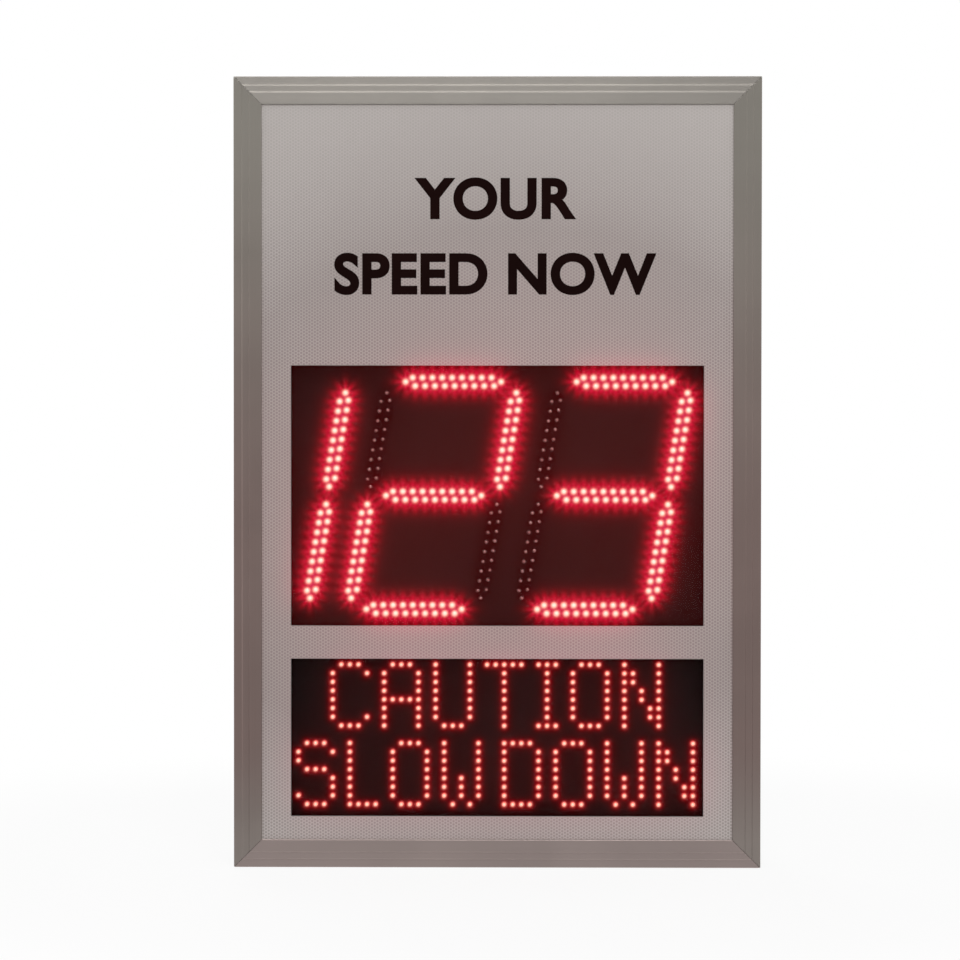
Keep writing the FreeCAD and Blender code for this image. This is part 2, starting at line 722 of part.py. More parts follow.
body = new_body(
    "power_supply", "-plate_half + supply_inset + supply_width / 2", "frame_front + plate_back",
    "plate_low + supply_inset + supply_height / 2")
case = new_sketch(body)
rectangle(case, "-supply_width / 2", "supply_width / 2", "-supply_height / 2", "supply_height / 2")
pad(case, "supply_depth", backwards=True)
bay = new_sketch(body, "XZ_Plane", "-supply_depth")
rectangle(
    bay, "supply_width / 2 - supply_bay", "supply_width / 2",
    "-supply_height / 2 + supply_skin", "supply_height / 2 - supply_skin")
pocket(bay, "supply_bay_depth")
vent = new_sketch(body, "XZ_Plane", "-supply_depth")
rectangle(
    vent, "-supply_width / 2 + supply_slot_pitch", "-supply_width / 2 + supply_slot_pitch + supply_slot_width",
    "-supply_slot_length / 2", "supply_slot_length / 2")
row_of(pocket(vent, "supply_skin"), "X_Axis", "supply_slot_pitch * (supply_slot_count - 1)", "supply_slot_count")

body = new_body(
    "terminal_block", "plate_half - terminal_inset - terminal_width / 2", "frame_front + plate_back",
    "plate_low + terminal_inset + terminal_height / 2")
block = new_sketch(body)
rectangle(block, "-terminal_width / 2", "terminal_width / 2", "-terminal_height / 2", "terminal_height / 2")
pad(block, "terminal_depth", backwards=True)
well = new_sketch(body, "XZ_Plane", "-terminal_depth")
rectangle(
    well, "-terminal_row / 2 - well_width / 2", "-terminal_row / 2 + well_width / 2",
    "-well_height / 2", "well_height / 2")
row_of(pocket(well, "well_depth"), "X_Axis", "terminal_row", "terminal_count")

body = new_body("radar_standoffs", y="frame_front + panel_back", z="radar_middle")
outline = new_sketch(body)
for x in signs("(radar_width + radar_ear) / 2"):
    for z in signs("radar_height / 2 - radar_ear / 2"):
        hexagon(outline, "standoff_flats", x, z)
pad(outline, "radar_ear_lift", backwards=True)

body = new_body("radar_module", y="frame_front + panel_back", z="radar_middle")
ears = new_sketch(body, "XZ_Plane", "-radar_ear_lift")
rectangle(
    ears, "-radar_width / 2 - radar_ear", "radar_width / 2 + radar_ear", "-radar_height / 2", "radar_height / 2")
pad(ears, "radar_ear_thickness", backwards=True)
housing = new_sketch(body, "XZ_Plane", "-radar_gap")
rectangle(housing, "-radar_width / 2", "radar_width / 2", "-radar_height / 2", "radar_height / 2")
pad(housing, "radar_depth", backwards=True)

# Rear: gasket, cover and their screws

body = new_body("rear_cover_gasket", y="cover_front")
outline = new_sketch(body)
for inset in ("gasket_inset", "rear_flange"):
    across = f"half_width - {inset}"
    up = f"half_height - {inset}"
    rectangle(outline, f"-({across})", across, f"-({up})", up)
pad(outline, "gasket_thickness")

COVER_SCREWS = [(x, z) for x in signs("fixing_x") for z in SIDE_SCREWS]
COVER_SCREWS += [(x, z) for x in END_SCREWS for z in signs("fixing_z")]
RAIL_FIXINGS = [(x, z) for x in signs("fixing_x") for z in RAIL_BOLTS]

body = new_body("rear_cover", y="cover_back")
outline = new_sketch(body)
cover_x = "half_width - cover_inset"
cover_z = "half_height - cover_inset"
rectangle(outline, f"-({cover_x})", cover_x, f"-({cover_z})", cover_z)
for place in COVER_SCREWS:
    hexagon(outline, "(cover_screw_size + hole_clearance)", *place)
for place in RAIL_FIXINGS:
    hexagon(outline, "(rail_bolt_size + hole_clearance)", *place)
circle(outline, "gland_thread + hole_clearance", "gland_x", "gland_z")
pad(outline, "cover_thickness")

body = new_body("rear_cover_screws", y="cover_back")
shanks = new_sketch(body)
for place in COVER_SCREWS:
    hexagon(shanks, "cover_screw_size", *place)
pad(shanks, "cover_thickness + gasket_thickness + frame_wall + screw_reach")
heads = new_sketch(body)
for place in COVER_SCREWS:
    hexagon(heads, "cover_screw_flats", *place)
pad(heads, "cover_screw_head", backwards=True)

# Rails: folded hat sections that carry the cabinet on a post


def mounting_rail(label, z):
    """One rail, with its face on the post plane and its brims on the rear cover."""
    body = new_body(label, z=z)
    section = new_sketch(body, "YZ_Plane")
    half = []
    for sign in ("", "-"):
        half.append([
            ("0", f"{sign}(rail_face / 2)"),
            ("rail_sheet - rail_depth", f"{sign}(rail_face / 2)"),
            ("rail_sheet - rail_depth", f"{sign}(rail_face / 2 + rail_brim)"),
            ("-rail_depth", f"{sign}(rail_face / 2 + rail_brim)"),
            ("-rail_depth", f"{sign}(rail_face / 2 - rail_sheet)"),
            ("-rail_sheet", f"{sign}(rail_face / 2 - rail_sheet)"),
        ])
    polygon(section, half[0] + half[1][::-1])
    hat = pad(section, "2 * rail_half", symmetric=True)
    inside = round_edges(hat, "rail_bend", lambda middle: near(middle.x, "0") and (
        near(middle.y, "-rail_sheet") or (
            near(middle.y, "rail_sheet - rail_depth") and near(abs(middle.z), "rail_face / 2"))))
    outside = round_edges(inside, "rail_bend + rail_sheet", lambda middle: near(middle.x, "0") and (
        (near(middle.y, "0") and near(abs(middle.z), "rail_face / 2"))
        or (near(middle.y, "-rail_depth") and near(abs(middle.z), "rail_face / 2 - rail_sheet"))))
    body.Tip = outside
    slots = new_sketch(body)
    for sign in (-1, 1):
        slot(slots, f"{sign} * post_slot_spacing / 2", "post_slot_length", "post_slot_width")
    pocket(slots, "rail_sheet")
    holes = new_sketch(body)
    for x in signs("fixing_x"):
        for place in signs("brim_middle"):
            hexagon(holes, "(rail_bolt_size + hole_clearance)", x, place)
    pocket(holes)


mounting_rail("upper_mounting_rail", "rail_spacing / 2")
mounting_rail("lower_mounting_rail", "-rail_spacing / 2")

GRIP = "rail_sheet + cover_thickness + gasket_thickness + frame_wall"

body = new_body("rail_bolts", y="cover_back + rail_sheet")
shanks = new_sketch(body)
for place in RAIL_FIXINGS:
    hexagon(shanks, "rail_bolt_size", *place)
pad(shanks, f"{GRIP} + rail_nut_height + screw_reach")
heads = new_sketch(body)
for place in RAIL_FIXINGS:
    hexagon(heads, "rail_bolt_flats", *place)
pad(heads, "rail_bolt_head", backwards=True)

body = new_body("rail_nuts", y="frame_back - frame_wall")
nuts = new_sketch(body)
for place in RAIL_FIXINGS:
    hexagon(nuts, "rail_bolt_flats", *place)
    hexagon(nuts, "rail_bolt_size", *place)
pad(nuts, "rail_nut_height")

# Cable gland, on the back of the cover


def gland_part(label):
    """A body about the gland's axis, whose sketches lie on the back of the cover."""
    return new_body(label, "gland_x", "cover_back", "gland_z")


def ring_pad(body, shape, size, bore, start, length):
    """A ring, hexagonal or round outside, that starts behind the cover and runs to the back."""
    outline = new_sketch(body, "XZ_Plane", f"-({start})")
    shape(outline, size)
    circle(outline, bore)
    pad(outline, length, backwards=True)


body = gland_part("cable_gland_body")
ring_pad(body, hexagon, "gland_flats", "gland_bore", "0", "gland_collar")
ring_pad(body, circle, "gland_thread", "gland_bore", "-gland_tail", "gland_tail")

body = gland_part("cable_gland_locknut")
ring_pad(body, hexagon, "gland_cap_flats", "gland_thread", "-cover_thickness - gland_locknut", "gland_locknut")

body = gland_part("cable_gland_cap")
ring_pad(body, hexagon, "gland_cap_flats", "cable_bore", "gland_collar", "gland_cap")

# Check every piece, then write one file each

doc.recompute()
for item in doc.Objects:
    if "Invalid" in item.State or "Error" in item.State:
        raise RuntimeError(f"{item.Label} failed: {item.State}")
for item in sub_parts:
    if item.Shape.isNull() or not item.Shape.isValid():
        raise RuntimeError(f"{item.Label} has no valid shape")

os.makedirs("parts", exist_ok=True)
for item in sub_parts:
    item.Shape.exportStep(f"parts/{item.Label}.step")
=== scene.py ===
"""Looks of a radar speed sign: its finishes, lamps, panes, reflective film and lettering.

Everything is in metres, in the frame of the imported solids: X to the right seen from the front,
Y to the back and Z up.
"""

import logging
import math
from collections.abc import Callable, Mapping, Sequence
from dataclasses import dataclass
from enum import Enum
from functools import cache, partial
from typing import Any, ClassVar, NamedTuple

import bmesh
import bpy
import numpy as np
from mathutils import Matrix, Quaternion, Vector


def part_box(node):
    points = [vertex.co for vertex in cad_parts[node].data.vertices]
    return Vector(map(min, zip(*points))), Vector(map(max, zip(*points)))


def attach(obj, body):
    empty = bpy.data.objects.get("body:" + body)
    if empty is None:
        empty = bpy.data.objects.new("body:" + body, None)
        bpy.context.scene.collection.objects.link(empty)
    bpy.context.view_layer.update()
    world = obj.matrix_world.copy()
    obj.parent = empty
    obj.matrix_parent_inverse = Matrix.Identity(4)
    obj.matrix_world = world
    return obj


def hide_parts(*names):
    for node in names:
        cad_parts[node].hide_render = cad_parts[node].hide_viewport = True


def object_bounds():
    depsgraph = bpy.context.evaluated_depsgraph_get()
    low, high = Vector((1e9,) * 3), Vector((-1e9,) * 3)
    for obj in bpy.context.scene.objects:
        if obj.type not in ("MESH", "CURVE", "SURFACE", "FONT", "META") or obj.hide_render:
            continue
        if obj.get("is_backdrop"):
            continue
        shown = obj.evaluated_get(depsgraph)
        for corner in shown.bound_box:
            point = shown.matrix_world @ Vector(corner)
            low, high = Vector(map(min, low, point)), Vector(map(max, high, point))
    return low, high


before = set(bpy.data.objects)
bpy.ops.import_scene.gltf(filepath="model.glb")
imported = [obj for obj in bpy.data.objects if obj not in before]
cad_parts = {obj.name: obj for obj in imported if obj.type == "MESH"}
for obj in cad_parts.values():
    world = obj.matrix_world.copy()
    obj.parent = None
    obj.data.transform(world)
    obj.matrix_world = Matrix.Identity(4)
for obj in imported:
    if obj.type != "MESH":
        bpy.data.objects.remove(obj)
cad_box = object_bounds()

Socket = bpy.types.NodeSocket
Node = bpy.types.Node
Tree = bpy.types.NodeTree
Material = bpy.types.Material
Mesh = bpy.types.Mesh
Given = Mapping[str, Socket]
Colour = tuple[float, float, float]
Tones = tuple[Colour, Colour, Colour]
Place = tuple[float, float, float]
Span = tuple[float, float]
Lines = list[float]

LOG = logging.getLogger("speed_sign")
ROOT = "root"
MM = 0.001
SAME_POINT = 0.01 * MM
WELD_GAP = 0.002 * MM
SHARP_ANGLE = math.radians(35.0)
PLACE_DIGITS = 6
COUNT_SLACK = 1e-9
LEAST_ROUGHNESS = 0.02
WHITE: Colour = (1.0, 1.0, 1.0)
BLACK: Colour = (0.0, 0.0, 0.0)
GLOW = "glow"
# Name of the mesh value that says where painted shade darkens the film.
PAINTED_SHADE = "painted_shade"


class Run(Enum):
    """The axis along which an extruded member runs."""

    LEVEL = "X"
    UPRIGHT = "Z"


def shade(colour: Colour, gain: float = 1.0) -> tuple[float, float, float, float]:
    """Returns a colour made lighter or darker, with full alpha."""
    return (colour[0] * gain, colour[1] * gain, colour[2] * gain, 1.0)


@dataclass
class NodeSheet:
    """A node tree that is being drawn, with short calls that add and join its nodes."""

    tree: Tree

    @classmethod
    def blank(cls, owner: Material | bpy.types.World) -> "NodeSheet":
        """Empties the nodes of a material or a world.

        Args:
            owner: The material or the world.

        Returns:
            Its empty sheet.
        """
        owner.use_nodes = True
        owner.node_tree.nodes.clear()
        return cls(owner.node_tree)

    def feed(self, socket: Socket, value: Any) -> None:
        """Fills one input socket.

        Args:
            socket: The input socket.
            value: The output that is linked to it, or the plain value that it is set to.
        """
        if isinstance(value, Socket):
            self.tree.links.new(value, socket)
        else:
            socket.default_value = value

    def supply(self, node: Node, inputs: Mapping[Any, Any]) -> None:
        """Fills several sockets of a node, by name or by number."""
        for name, value in inputs.items():
            self.feed(node.inputs[name], value)

    def add(self, kind: str, inputs: Mapping[Any, Any] | None = None, **settings: Any) -> Node:
        """Adds one shader node.

        Args:
            kind: Blender's name of the node without its prefix.
            inputs: Values or outputs for its sockets, by name or by number.
            settings: The node's own properties.

        Returns:
            The node.
        """
        node = self.tree.nodes.new("ShaderNode" + kind)
        for name, value in settings.items():
            setattr(node, name, value)
        self.supply(node, inputs or {})
        return node

    def put(self, effect: "Effect", **values: Any) -> Socket:
        """Places a shared effect with its own values and returns its result."""
        return self.add("Group", values, node_tree=effect_group(effect)).outputs["Value"]

    def maths(self, operation: str, first: Any, second: Any) -> Socket:
        """Returns the result of a Math node."""
        return self.add("Math", {0: first, 1: second}, operation=operation).outputs[0]

    def vector_maths(self, operation: str, first: Any, second: Any) -> Socket:
        """Returns the result of a Vector Math node, a number for a distance and else a vector."""
        outputs = self.add("VectorMath", {0: first, 1: second}, operation=operation).outputs
        return outputs["Value" if operation == "DISTANCE" else "Vector"]

    def spread(
        self, value: Any, low: float, high: float, to_low: float = 0.0, to_high: float = 1.0
    ) -> Socket:
        """Maps a value from the range low to high to another range, smoothly and clamped."""
        inputs = {"Value": value, "From Min": low, "From Max": high, "To Min": to_low, "To Max": to_high}
        return self.add("MapRange", inputs, interpolation_type="SMOOTHSTEP").outputs["Result"]

    def tint(self, factor: Any, low: Any, high: Any, blend: str = "MIX") -> Socket:
        """Mixes two colours, low where the factor is 0 and high where it is 1."""
        inputs = {"Factor": factor, 6: low, 7: high}
        return self.add("Mix", inputs, data_type="RGBA", blend_type=blend).outputs[2]

    def noise(self, cut: float, place: Socket, **inputs: float | Socket) -> Socket:
        """Draws noise from 0 to 1, with a share of its range cut off at each end."""
        texture = self.add("TexNoise", {"Vector": place, **inputs})
        return self.spread(texture.outputs[0], cut, 1.0 - cut)

    def bump(self, height: Socket, depth: float) -> Socket:
        """Returns the normal of a Bump node of that depth in metres."""
        return self.add("Bump", {"Height": height, "Strength": 1.0, "Distance": depth}).outputs["Normal"]

    def place(self) -> Socket:
        """Returns the place on the object, in metres."""
        return self.add("TexCoord").outputs["Object"]

    def split(self, vector: Socket) -> Given:
        """Returns the X, Y and Z of a vector, by name."""
        return self.add("SeparateXYZ", {0: vector}).outputs

    def along(self, axis: str) -> Socket:
        """Returns one coordinate of the place on the object."""
        return self.split(self.place())[axis]


def draw_grain(sheet: NodeSheet, given: Given) -> Socket:
    """Draws fine even grain, such as a moulded or powder-coated skin has."""
    return sheet.noise(0.25, sheet.place(), Scale=given["Scale"], Detail=5.0, Roughness=0.6)


def draw_blotches(sheet: NodeSheet, given: Given) -> Socket:
    """Draws wide soft patches, for handling marks and uneven tone."""
    return sheet.noise(0.3, sheet.place(), Scale=given["Scale"], Detail=3.0, Distortion=0.4)


def draw_lines(sheet: NodeSheet, given: Given) -> Socket:
    """Draws the fine lines that an extrusion die leaves, for a member along X or Z.

    Args:
        sheet: The group's node sheet.
        given: The group's inputs, how many lines a metre has along each axis.

    Returns:
        The lines' height, from 0 to 1.
    """
    counts = {axis: given[axis] for axis in "XYZ"}
    stretched = sheet.vector_maths("MULTIPLY", sheet.place(), sheet.add("CombineXYZ", counts).outputs[0])
    return sheet.noise(0.25, stretched, Scale=1.0, Detail=4.0)


def draw_spangle(sheet: NodeSheet, given: Given) -> Socket:
    """Draws the crystal patches of a zinc coat."""
    cells = sheet.add("TexVoronoi", {"Vector": sheet.place(), "Scale": given["Scale"]})
    return sheet.add("SeparateColor", {0: cells.outputs["Color"]}).outputs[0]


def draw_rise(sheet: NodeSheet, given: Given) -> Socket:
    """Draws a fade from the foot of a lamp, 0, to its tip, 1."""
    inputs = {"Value": sheet.along("Y"), "From Min": given["Foot"], "From Max": given["Tip"]}
    return sheet.add("MapRange", inputs).outputs["Result"]


class Effect(Enum):
    """The shader node groups that several finishes share: name, drawing and inputs of each."""

    GRAIN = ("surface_grain", draw_grain, "Scale")
    BLOTCHES = ("tone_blotches", draw_blotches, "Scale")
    DRAWN_LINES = ("drawn_lines", draw_lines, "X", "Y", "Z")
    SPANGLE = ("zinc_spangle", draw_spangle, "Scale")
    RISE = ("lamp_rise", draw_rise, "Foot", "Tip")


@cache
def effect_group(effect: Effect) -> Tree:
    """Builds the node group of a shared effect, once.

    Args:
        effect: The effect wanted.

    Returns:
        Its group, with number inputs and one number output.
    """
    name, draw, *inputs = effect.value
    group = bpy.data.node_groups.new(name, "ShaderNodeTree")
    for each in inputs:
        group.interface.new_socket(each, in_out="INPUT", socket_type="NodeSocketFloat")
    group.interface.new_socket("Value", in_out="OUTPUT", socket_type="NodeSocketFloat")
    sheet = NodeSheet(group)
    result = draw(sheet, group.nodes.new("NodeGroupInput").outputs)
    sheet.feed(group.nodes.new("NodeGroupOutput").inputs["Value"], result)
    return group


@dataclass(frozen=True)
class Finish:
    """A surface finish: its colour, how that varies and how it takes light."""

    sampling: ClassVar[str] = "AUTO"
    slot: str
    colour: Colour
    roughness: float
    label: str = ""
    metallic: float = 0.0
    specular: float = 0.5
    tone_spread: float = 0.06
    gloss_spread: float = 0.06
    grain_scale: float = 900.0
    grain_depth: float = 0.03 * MM
    blotch_scale: float = 7.0

    def blotched(self, sheet: NodeSheet, *colours: Colour) -> list[Socket]:
        """Draws colours with the same uneven patches.

        Args:
            sheet: The material's node sheet.
            colours: The colours wanted.

        Returns:
            A socket for each colour.
        """
        patches = sheet.put(Effect.BLOTCHES, Scale=self.blotch_scale)
        low, high = 1.0 - self.tone_spread, 1.0 + self.tone_spread
        return [sheet.tint(patches, shade(colour, low), shade(colour, high)) for colour in colours]

    def tone(self, sheet: NodeSheet) -> Socket:
        """Draws the colour and returns its socket."""
        return self.blotched(sheet, self.colour)[0]

    def relief(self, sheet: NodeSheet) -> Socket:
        """Draws the surface relief and returns its height, from 0 to 1."""
        return sheet.put(Effect.GRAIN, Scale=self.grain_scale)

    def extras(self, sheet: NodeSheet) -> dict[str, Any]:
        """Returns what else goes into the shader; a plain finish has nothing."""
        return {}

    @cache
    def material(self) -> Material:
        """Builds the material, once.

        Returns:
            The material.
        """
        material = bpy.data.materials.new(self.label or self.slot)
        material.cycles.emission_sampling = self.sampling
        sheet = NodeSheet.blank(material)
        shader = sheet.add("BsdfPrincipled")
        sheet.add("OutputMaterial", {"Surface": shader.outputs["BSDF"]})
        height = self.relief(sheet)
        low = max(self.roughness - self.gloss_spread, LEAST_ROUGHNESS)
        high = min(self.roughness + self.gloss_spread, 1.0)
        sheet.supply(shader, {
            "Base Color": self.tone(sheet),
            "Roughness": sheet.spread(height, 0.0, 1.0, low, high),
            "Normal": sheet.bump(height, self.grain_depth),
            "Metallic": self.metallic,
            "Specular IOR Level": self.specular,
        })
        sheet.supply(shader, self.extras(sheet))
        return material


@dataclass(frozen=True, kw_only=True)
class DrawnFinish(Finish):
    """Satin aluminium with fine lines along it, with painted light and shade by height on its stepped
    face and a painted highlight on slopes that face down.
    """

    run: Run
    # The foot and waist tones are painted light and shade on the face by height; the head tone also
    # colours the sides.
    foot_light_shade_colour: Colour
    waist_light_shade_colour: Colour
    along: float = 0.4
    across: float = 2600.0
    anisotropy: float = 0.7
    foot_to_waist: Span = (-440.0 * MM, -300.0 * MM)
    waist_to_head: Span = (-100.0 * MM, 470.0 * MM)
    face_to_side: Span = (-121.2 * MM, -116.0 * MM)
    # Painted highlight: slopes of the face that point down are made lighter by this gain.
    slope_highlight_fade: Span = (0.2, 0.45)
    slope_highlight_gain: float = 1.6

    def tone(self, sheet: NodeSheet) -> Socket:
        """Paints light and shade by height, from the foot through the waist to the head tone, and paints
        a highlight on slopes that face down.

        Args:
            sheet: The material's node sheet.

        Returns:
            The colour's socket.
        """
        foot, waist, head = self.blotched(sheet, self.foot_light_shade_colour, self.waist_light_shade_colour, self.colour)
        place = sheet.split(sheet.place())
        lower = sheet.tint(sheet.spread(place["Z"], *self.foot_to_waist), foot, waist)
        face = sheet.tint(sheet.spread(place["Z"], *self.waist_to_head), lower, head)
        whole = sheet.tint(sheet.spread(place["Y"], *self.face_to_side), face, head)
        # Painted highlight on slopes that face down.
        facing = sheet.split(sheet.add("NewGeometry").outputs["Normal"])
        slope_highlight = sheet.spread(sheet.maths("MULTIPLY", facing["Y"], facing["Z"]), *self.slope_highlight_fade)
        return sheet.tint(slope_highlight, whole, shade(WHITE, self.slope_highlight_gain), "MULTIPLY")

    def relief(self, sheet: NodeSheet) -> Socket:
        """Draws the lines and returns their height, from 0 to 1."""
        counts = dict.fromkeys("XYZ", self.across) | {self.run.value: self.along}
        return sheet.put(Effect.DRAWN_LINES, **counts)

    def extras(self, sheet: NodeSheet) -> dict[str, Any]:
        """Returns what draws highlights out across the lines."""
        tangent = sheet.add("Tangent", direction_type="RADIAL", axis=self.run.value)
        return {"Tangent": tangent.outputs[0], "Anisotropic": self.anisotropy}


@dataclass(frozen=True)
class SpangledFinish(Finish):
    """Zinc-coated steel with its crystal patches."""

    spangle_scale: float = 90.0
    spangle_spread: float = 0.12

    def tone(self, sheet: NodeSheet) -> Socket:
        """Draws the crystals over uneven patches.

        Args:
            sheet: The material's node sheet.

        Returns:
            The colour's socket.
        """
        gains = (1.0 - self.spangle_spread, 1.0 - self.tone_spread, 1.0 + self.spangle_spread)
        dark, even, light = (shade(self.colour, gain) for gain in gains)
        ground = sheet.tint(sheet.put(Effect.BLOTCHES, Scale=self.blotch_scale), even, light)
        crystals = sheet.put(Effect.SPANGLE, Scale=self.spangle_scale)
        return sheet.tint(sheet.spread(crystals, 0.0, 1.0), dark, ground)


@dataclass(frozen=True, kw_only=True)
class LampFinish(Finish):
    """The clear lens of a lamp, paler at its tip, with the light that it gives."""

    foot: float
    tip: float
    foot_shade: float = 0.25
    fade_start: float = 0.6
    glow_start: float = 0.7
    glow_foot: Colour = BLACK
    glow_tip: Colour = BLACK
    strength: float = 0.0

    def fade(self, sheet: NodeSheet, start: float) -> Socket:
        """Returns a fade to 1 at the tip, from 0 at a share of the lamp's height."""
        return sheet.spread(sheet.put(Effect.RISE, Foot=self.foot, Tip=self.tip), start, 1.0)

    def tone(self, sheet: NodeSheet) -> Socket:
        """Draws the lens from its foot to its tip and returns the colour."""
        fade = self.fade(sheet, self.fade_start)
        return sheet.tint(fade, shade(self.colour, self.foot_shade), shade(self.colour))

    def extras(self, sheet: NodeSheet) -> dict[str, Any]:
        """Lights the lens where the lamp is on.

        Args:
            sheet: The material's node sheet.

        Returns:
            The light's colour and strength, or nothing where the lamp is off.
        """
        if not self.strength:
            return {}
        glow = sheet.tint(self.fade(sheet, self.glow_start), shade(self.glow_foot), shade(self.glow_tip))
        return {"Emission Color": glow, "Emission Strength": self.strength}


@dataclass(frozen=True)
class GlowingFinish(Finish):
    """A finish that shows the lamps' light kept on its mesh, without being a lamp of its own."""

    sampling: ClassVar[str] = "NONE"

    def extras(self, sheet: NodeSheet) -> dict[str, Any]:
        """Returns the lamps' light."""
        light = sheet.add("Attribute", attribute_name=GLOW)
        return {"Emission Color": light.outputs["Color"], "Emission Strength": 1.0}


@dataclass(frozen=True)
class PaneFinish(GlowingFinish):
    """A clear pane with an anti-glare coat, and the lamps' light in it."""

    bend: float = 1.08

    def extras(self, sheet: NodeSheet) -> dict[str, Any]:
        """Returns the lamps' light and what makes the pane clear."""
        return super().extras(sheet) | {"Transmission Weight": 1.0, "IOR": self.bend}


@dataclass(frozen=True)
class FilmFinish(GlowingFinish):
    """Reflective film with a honeycomb of small cells, which is faint near the top of the sign, with
    painted shade near the lit figures.
    """

    column_gap: float = 3.1 * MM
    row_gap: float = 3.68 * MM
    cell_edge: Span = (0.7 * MM, 1.9 * MM)
    cell_tone: float = 0.62
    wall_share: float = 0.51
    faint_levels: Span = (120.0 * MM, 440.0 * MM)
    faint_strength: float = 0.25
    # Painted shade: how dark the film is made near the lit figures.
    painted_shade_tone: float = 0.615

    def relief(self, sheet: NodeSheet) -> Socket:
        """Draws the honeycomb: two grids of points, one set half a step off the other.

        Args:
            sheet: The material's node sheet.

        Returns:
            A value that is 0 in the middle of each cell and 1 on the walls.
        """
        step = (2.0 * self.column_gap, 1.0, self.row_gap)
        half = (self.column_gap, 0.0, self.row_gap / 2.0)
        flat = sheet.vector_maths("MULTIPLY", sheet.place(), (1.0, 0.0, 1.0))
        gaps = []
        for shift in ((0.0, 0.0, 0.0), half):
            moved = sheet.vector_maths("ADD", flat, shift)
            nearest = sheet.vector_maths("SNAP", sheet.vector_maths("ADD", moved, half), step)
            gaps.append(sheet.vector_maths("DISTANCE", moved, nearest))
        return sheet.spread(sheet.maths("MINIMUM", *gaps), *self.cell_edge)

    def tone(self, sheet: NodeSheet) -> Socket:
        """Draws the cells, fainter towards the top, and paints shade on the film near the lit figures.

        Args:
            sheet: The material's node sheet.

        Returns:
            The colour's socket.
        """
        (ground,) = self.blotched(sheet, self.colour)
        cells = sheet.tint(self.relief(sheet), shade(self.colour, self.cell_tone), ground)
        mean_tone = self.cell_tone + self.wall_share * (1.0 - self.cell_tone)
        strength = sheet.spread(sheet.along("Z"), *self.faint_levels, 1.0, self.faint_strength)
        drawn = sheet.tint(strength, shade(self.colour, mean_tone), cells)
        # Painted shade near the lit figures.
        painted_shade = sheet.add("Attribute", attribute_name=PAINTED_SHADE).outputs["Fac"]
        return sheet.tint(painted_shade, drawn, shade(WHITE, self.painted_shade_tone), "MULTIPLY")


def show(name: str, data: bpy.types.ID) -> bpy.types.Object:
    """Puts a mesh, curve, lamp or camera into the scene.

    Args:
        name: The object's name.
        data: What it shows.

    Returns:
        The new object.
    """
    item = bpy.data.objects.new(name, data)
    bpy.context.scene.collection.objects.link(item)
    return item


def put_piece(name: str, mesh: Mesh, finish: Finish, *nodes: str, smooth: bool = False) -> None:
    """Adds one piece to the sign.

    Args:
        name: The piece's name.
        mesh: Its mesh, in place.
        finish: Its finish, which also names its slot.
        nodes: The solids that it stands for.
        smooth: True for round surfaces.
    """
    mesh.name = name
    mesh.materials.clear()
    mesh.materials.append(finish.material())
    mesh.polygons.foreach_set("use_smooth", [smooth] * len(mesh.polygons))
    piece = show(name, mesh)
    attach(piece, ROOT)
    if nodes:
        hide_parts(*nodes)
    LOG.info("%s: %d faces", name, len(mesh.polygons))


def dress(finish: Finish, *nodes: str, edge: float = 0.0) -> None:
    """Gives solids their finish, and breaks their sharp edges so that they catch the light.

    Args:
        finish: The finish.
        nodes: The solids' names.
        edge: Width of their broken edges, or 0 where they stay sharp.
    """
    for node in nodes:
        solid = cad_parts[node]
        solid.data.materials.clear()
        solid.data.materials.append(finish.material())
        LOG.info("%s: %s", node, finish.material().name)
        if edge:
            weld = solid.modifiers.new("joined_points", "WELD")
            weld.merge_threshold = WELD_GAP
            bevel = solid.modifiers.new("broken_edges", "BEVEL")
            bevel.width = edge
            bevel.segments = 2
            bevel.limit_method = "ANGLE"
            bevel.angle_limit = SHARP_ANGLE
            bevel.harden_normals = True


def mesh_of(points: Sequence[Sequence[float]], faces: Sequence[Sequence[int]]) -> Mesh:
    """Makes a mesh from its points and faces.

    Args:
        points: Its points.
        faces: The points of each face.

    Returns:
        The new mesh.
    """
    mesh = bpy.data.meshes.new("surface")
    mesh.from_pydata(points, [], faces)
    mesh.update()
    return mesh


def points_of(mesh: Mesh) -> np.ndarray:
    """Returns one row of X, Y and Z for each point of a mesh."""
    return np.array([point.co[:] for point in mesh.vertices])


def lamp_places(node: str) -> np.ndarray:
    """Finds the middle of every lamp of a solid.

    Args:
        node: The solid that holds the lamps.

    Returns:
        One row of X and Z for each lamp.
    """
    loose = bmesh.new()
    loose.from_mesh(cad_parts[node].data)
    bmesh.ops.remove_doubles(loose, verts=loose.verts, dist=SAME_POINT)
    waiting = set(loose.verts)
    places = []
    while waiting:
        island = {waiting.pop()}
        border = list(island)
        while border:
            point = border.pop()
            fresh = waiting.intersection(edge.other_vert(point) for edge in point.link_edges)
            waiting -= fresh
            island |= fresh
            border.extend(fresh)
        middle = sum((point.co for point in island), Vector()) / len(island)
        places.append((round(middle.x, PLACE_DIGITS), round(middle.z, PLACE_DIGITS)))
    loose.free()
    return np.array(sorted(places))


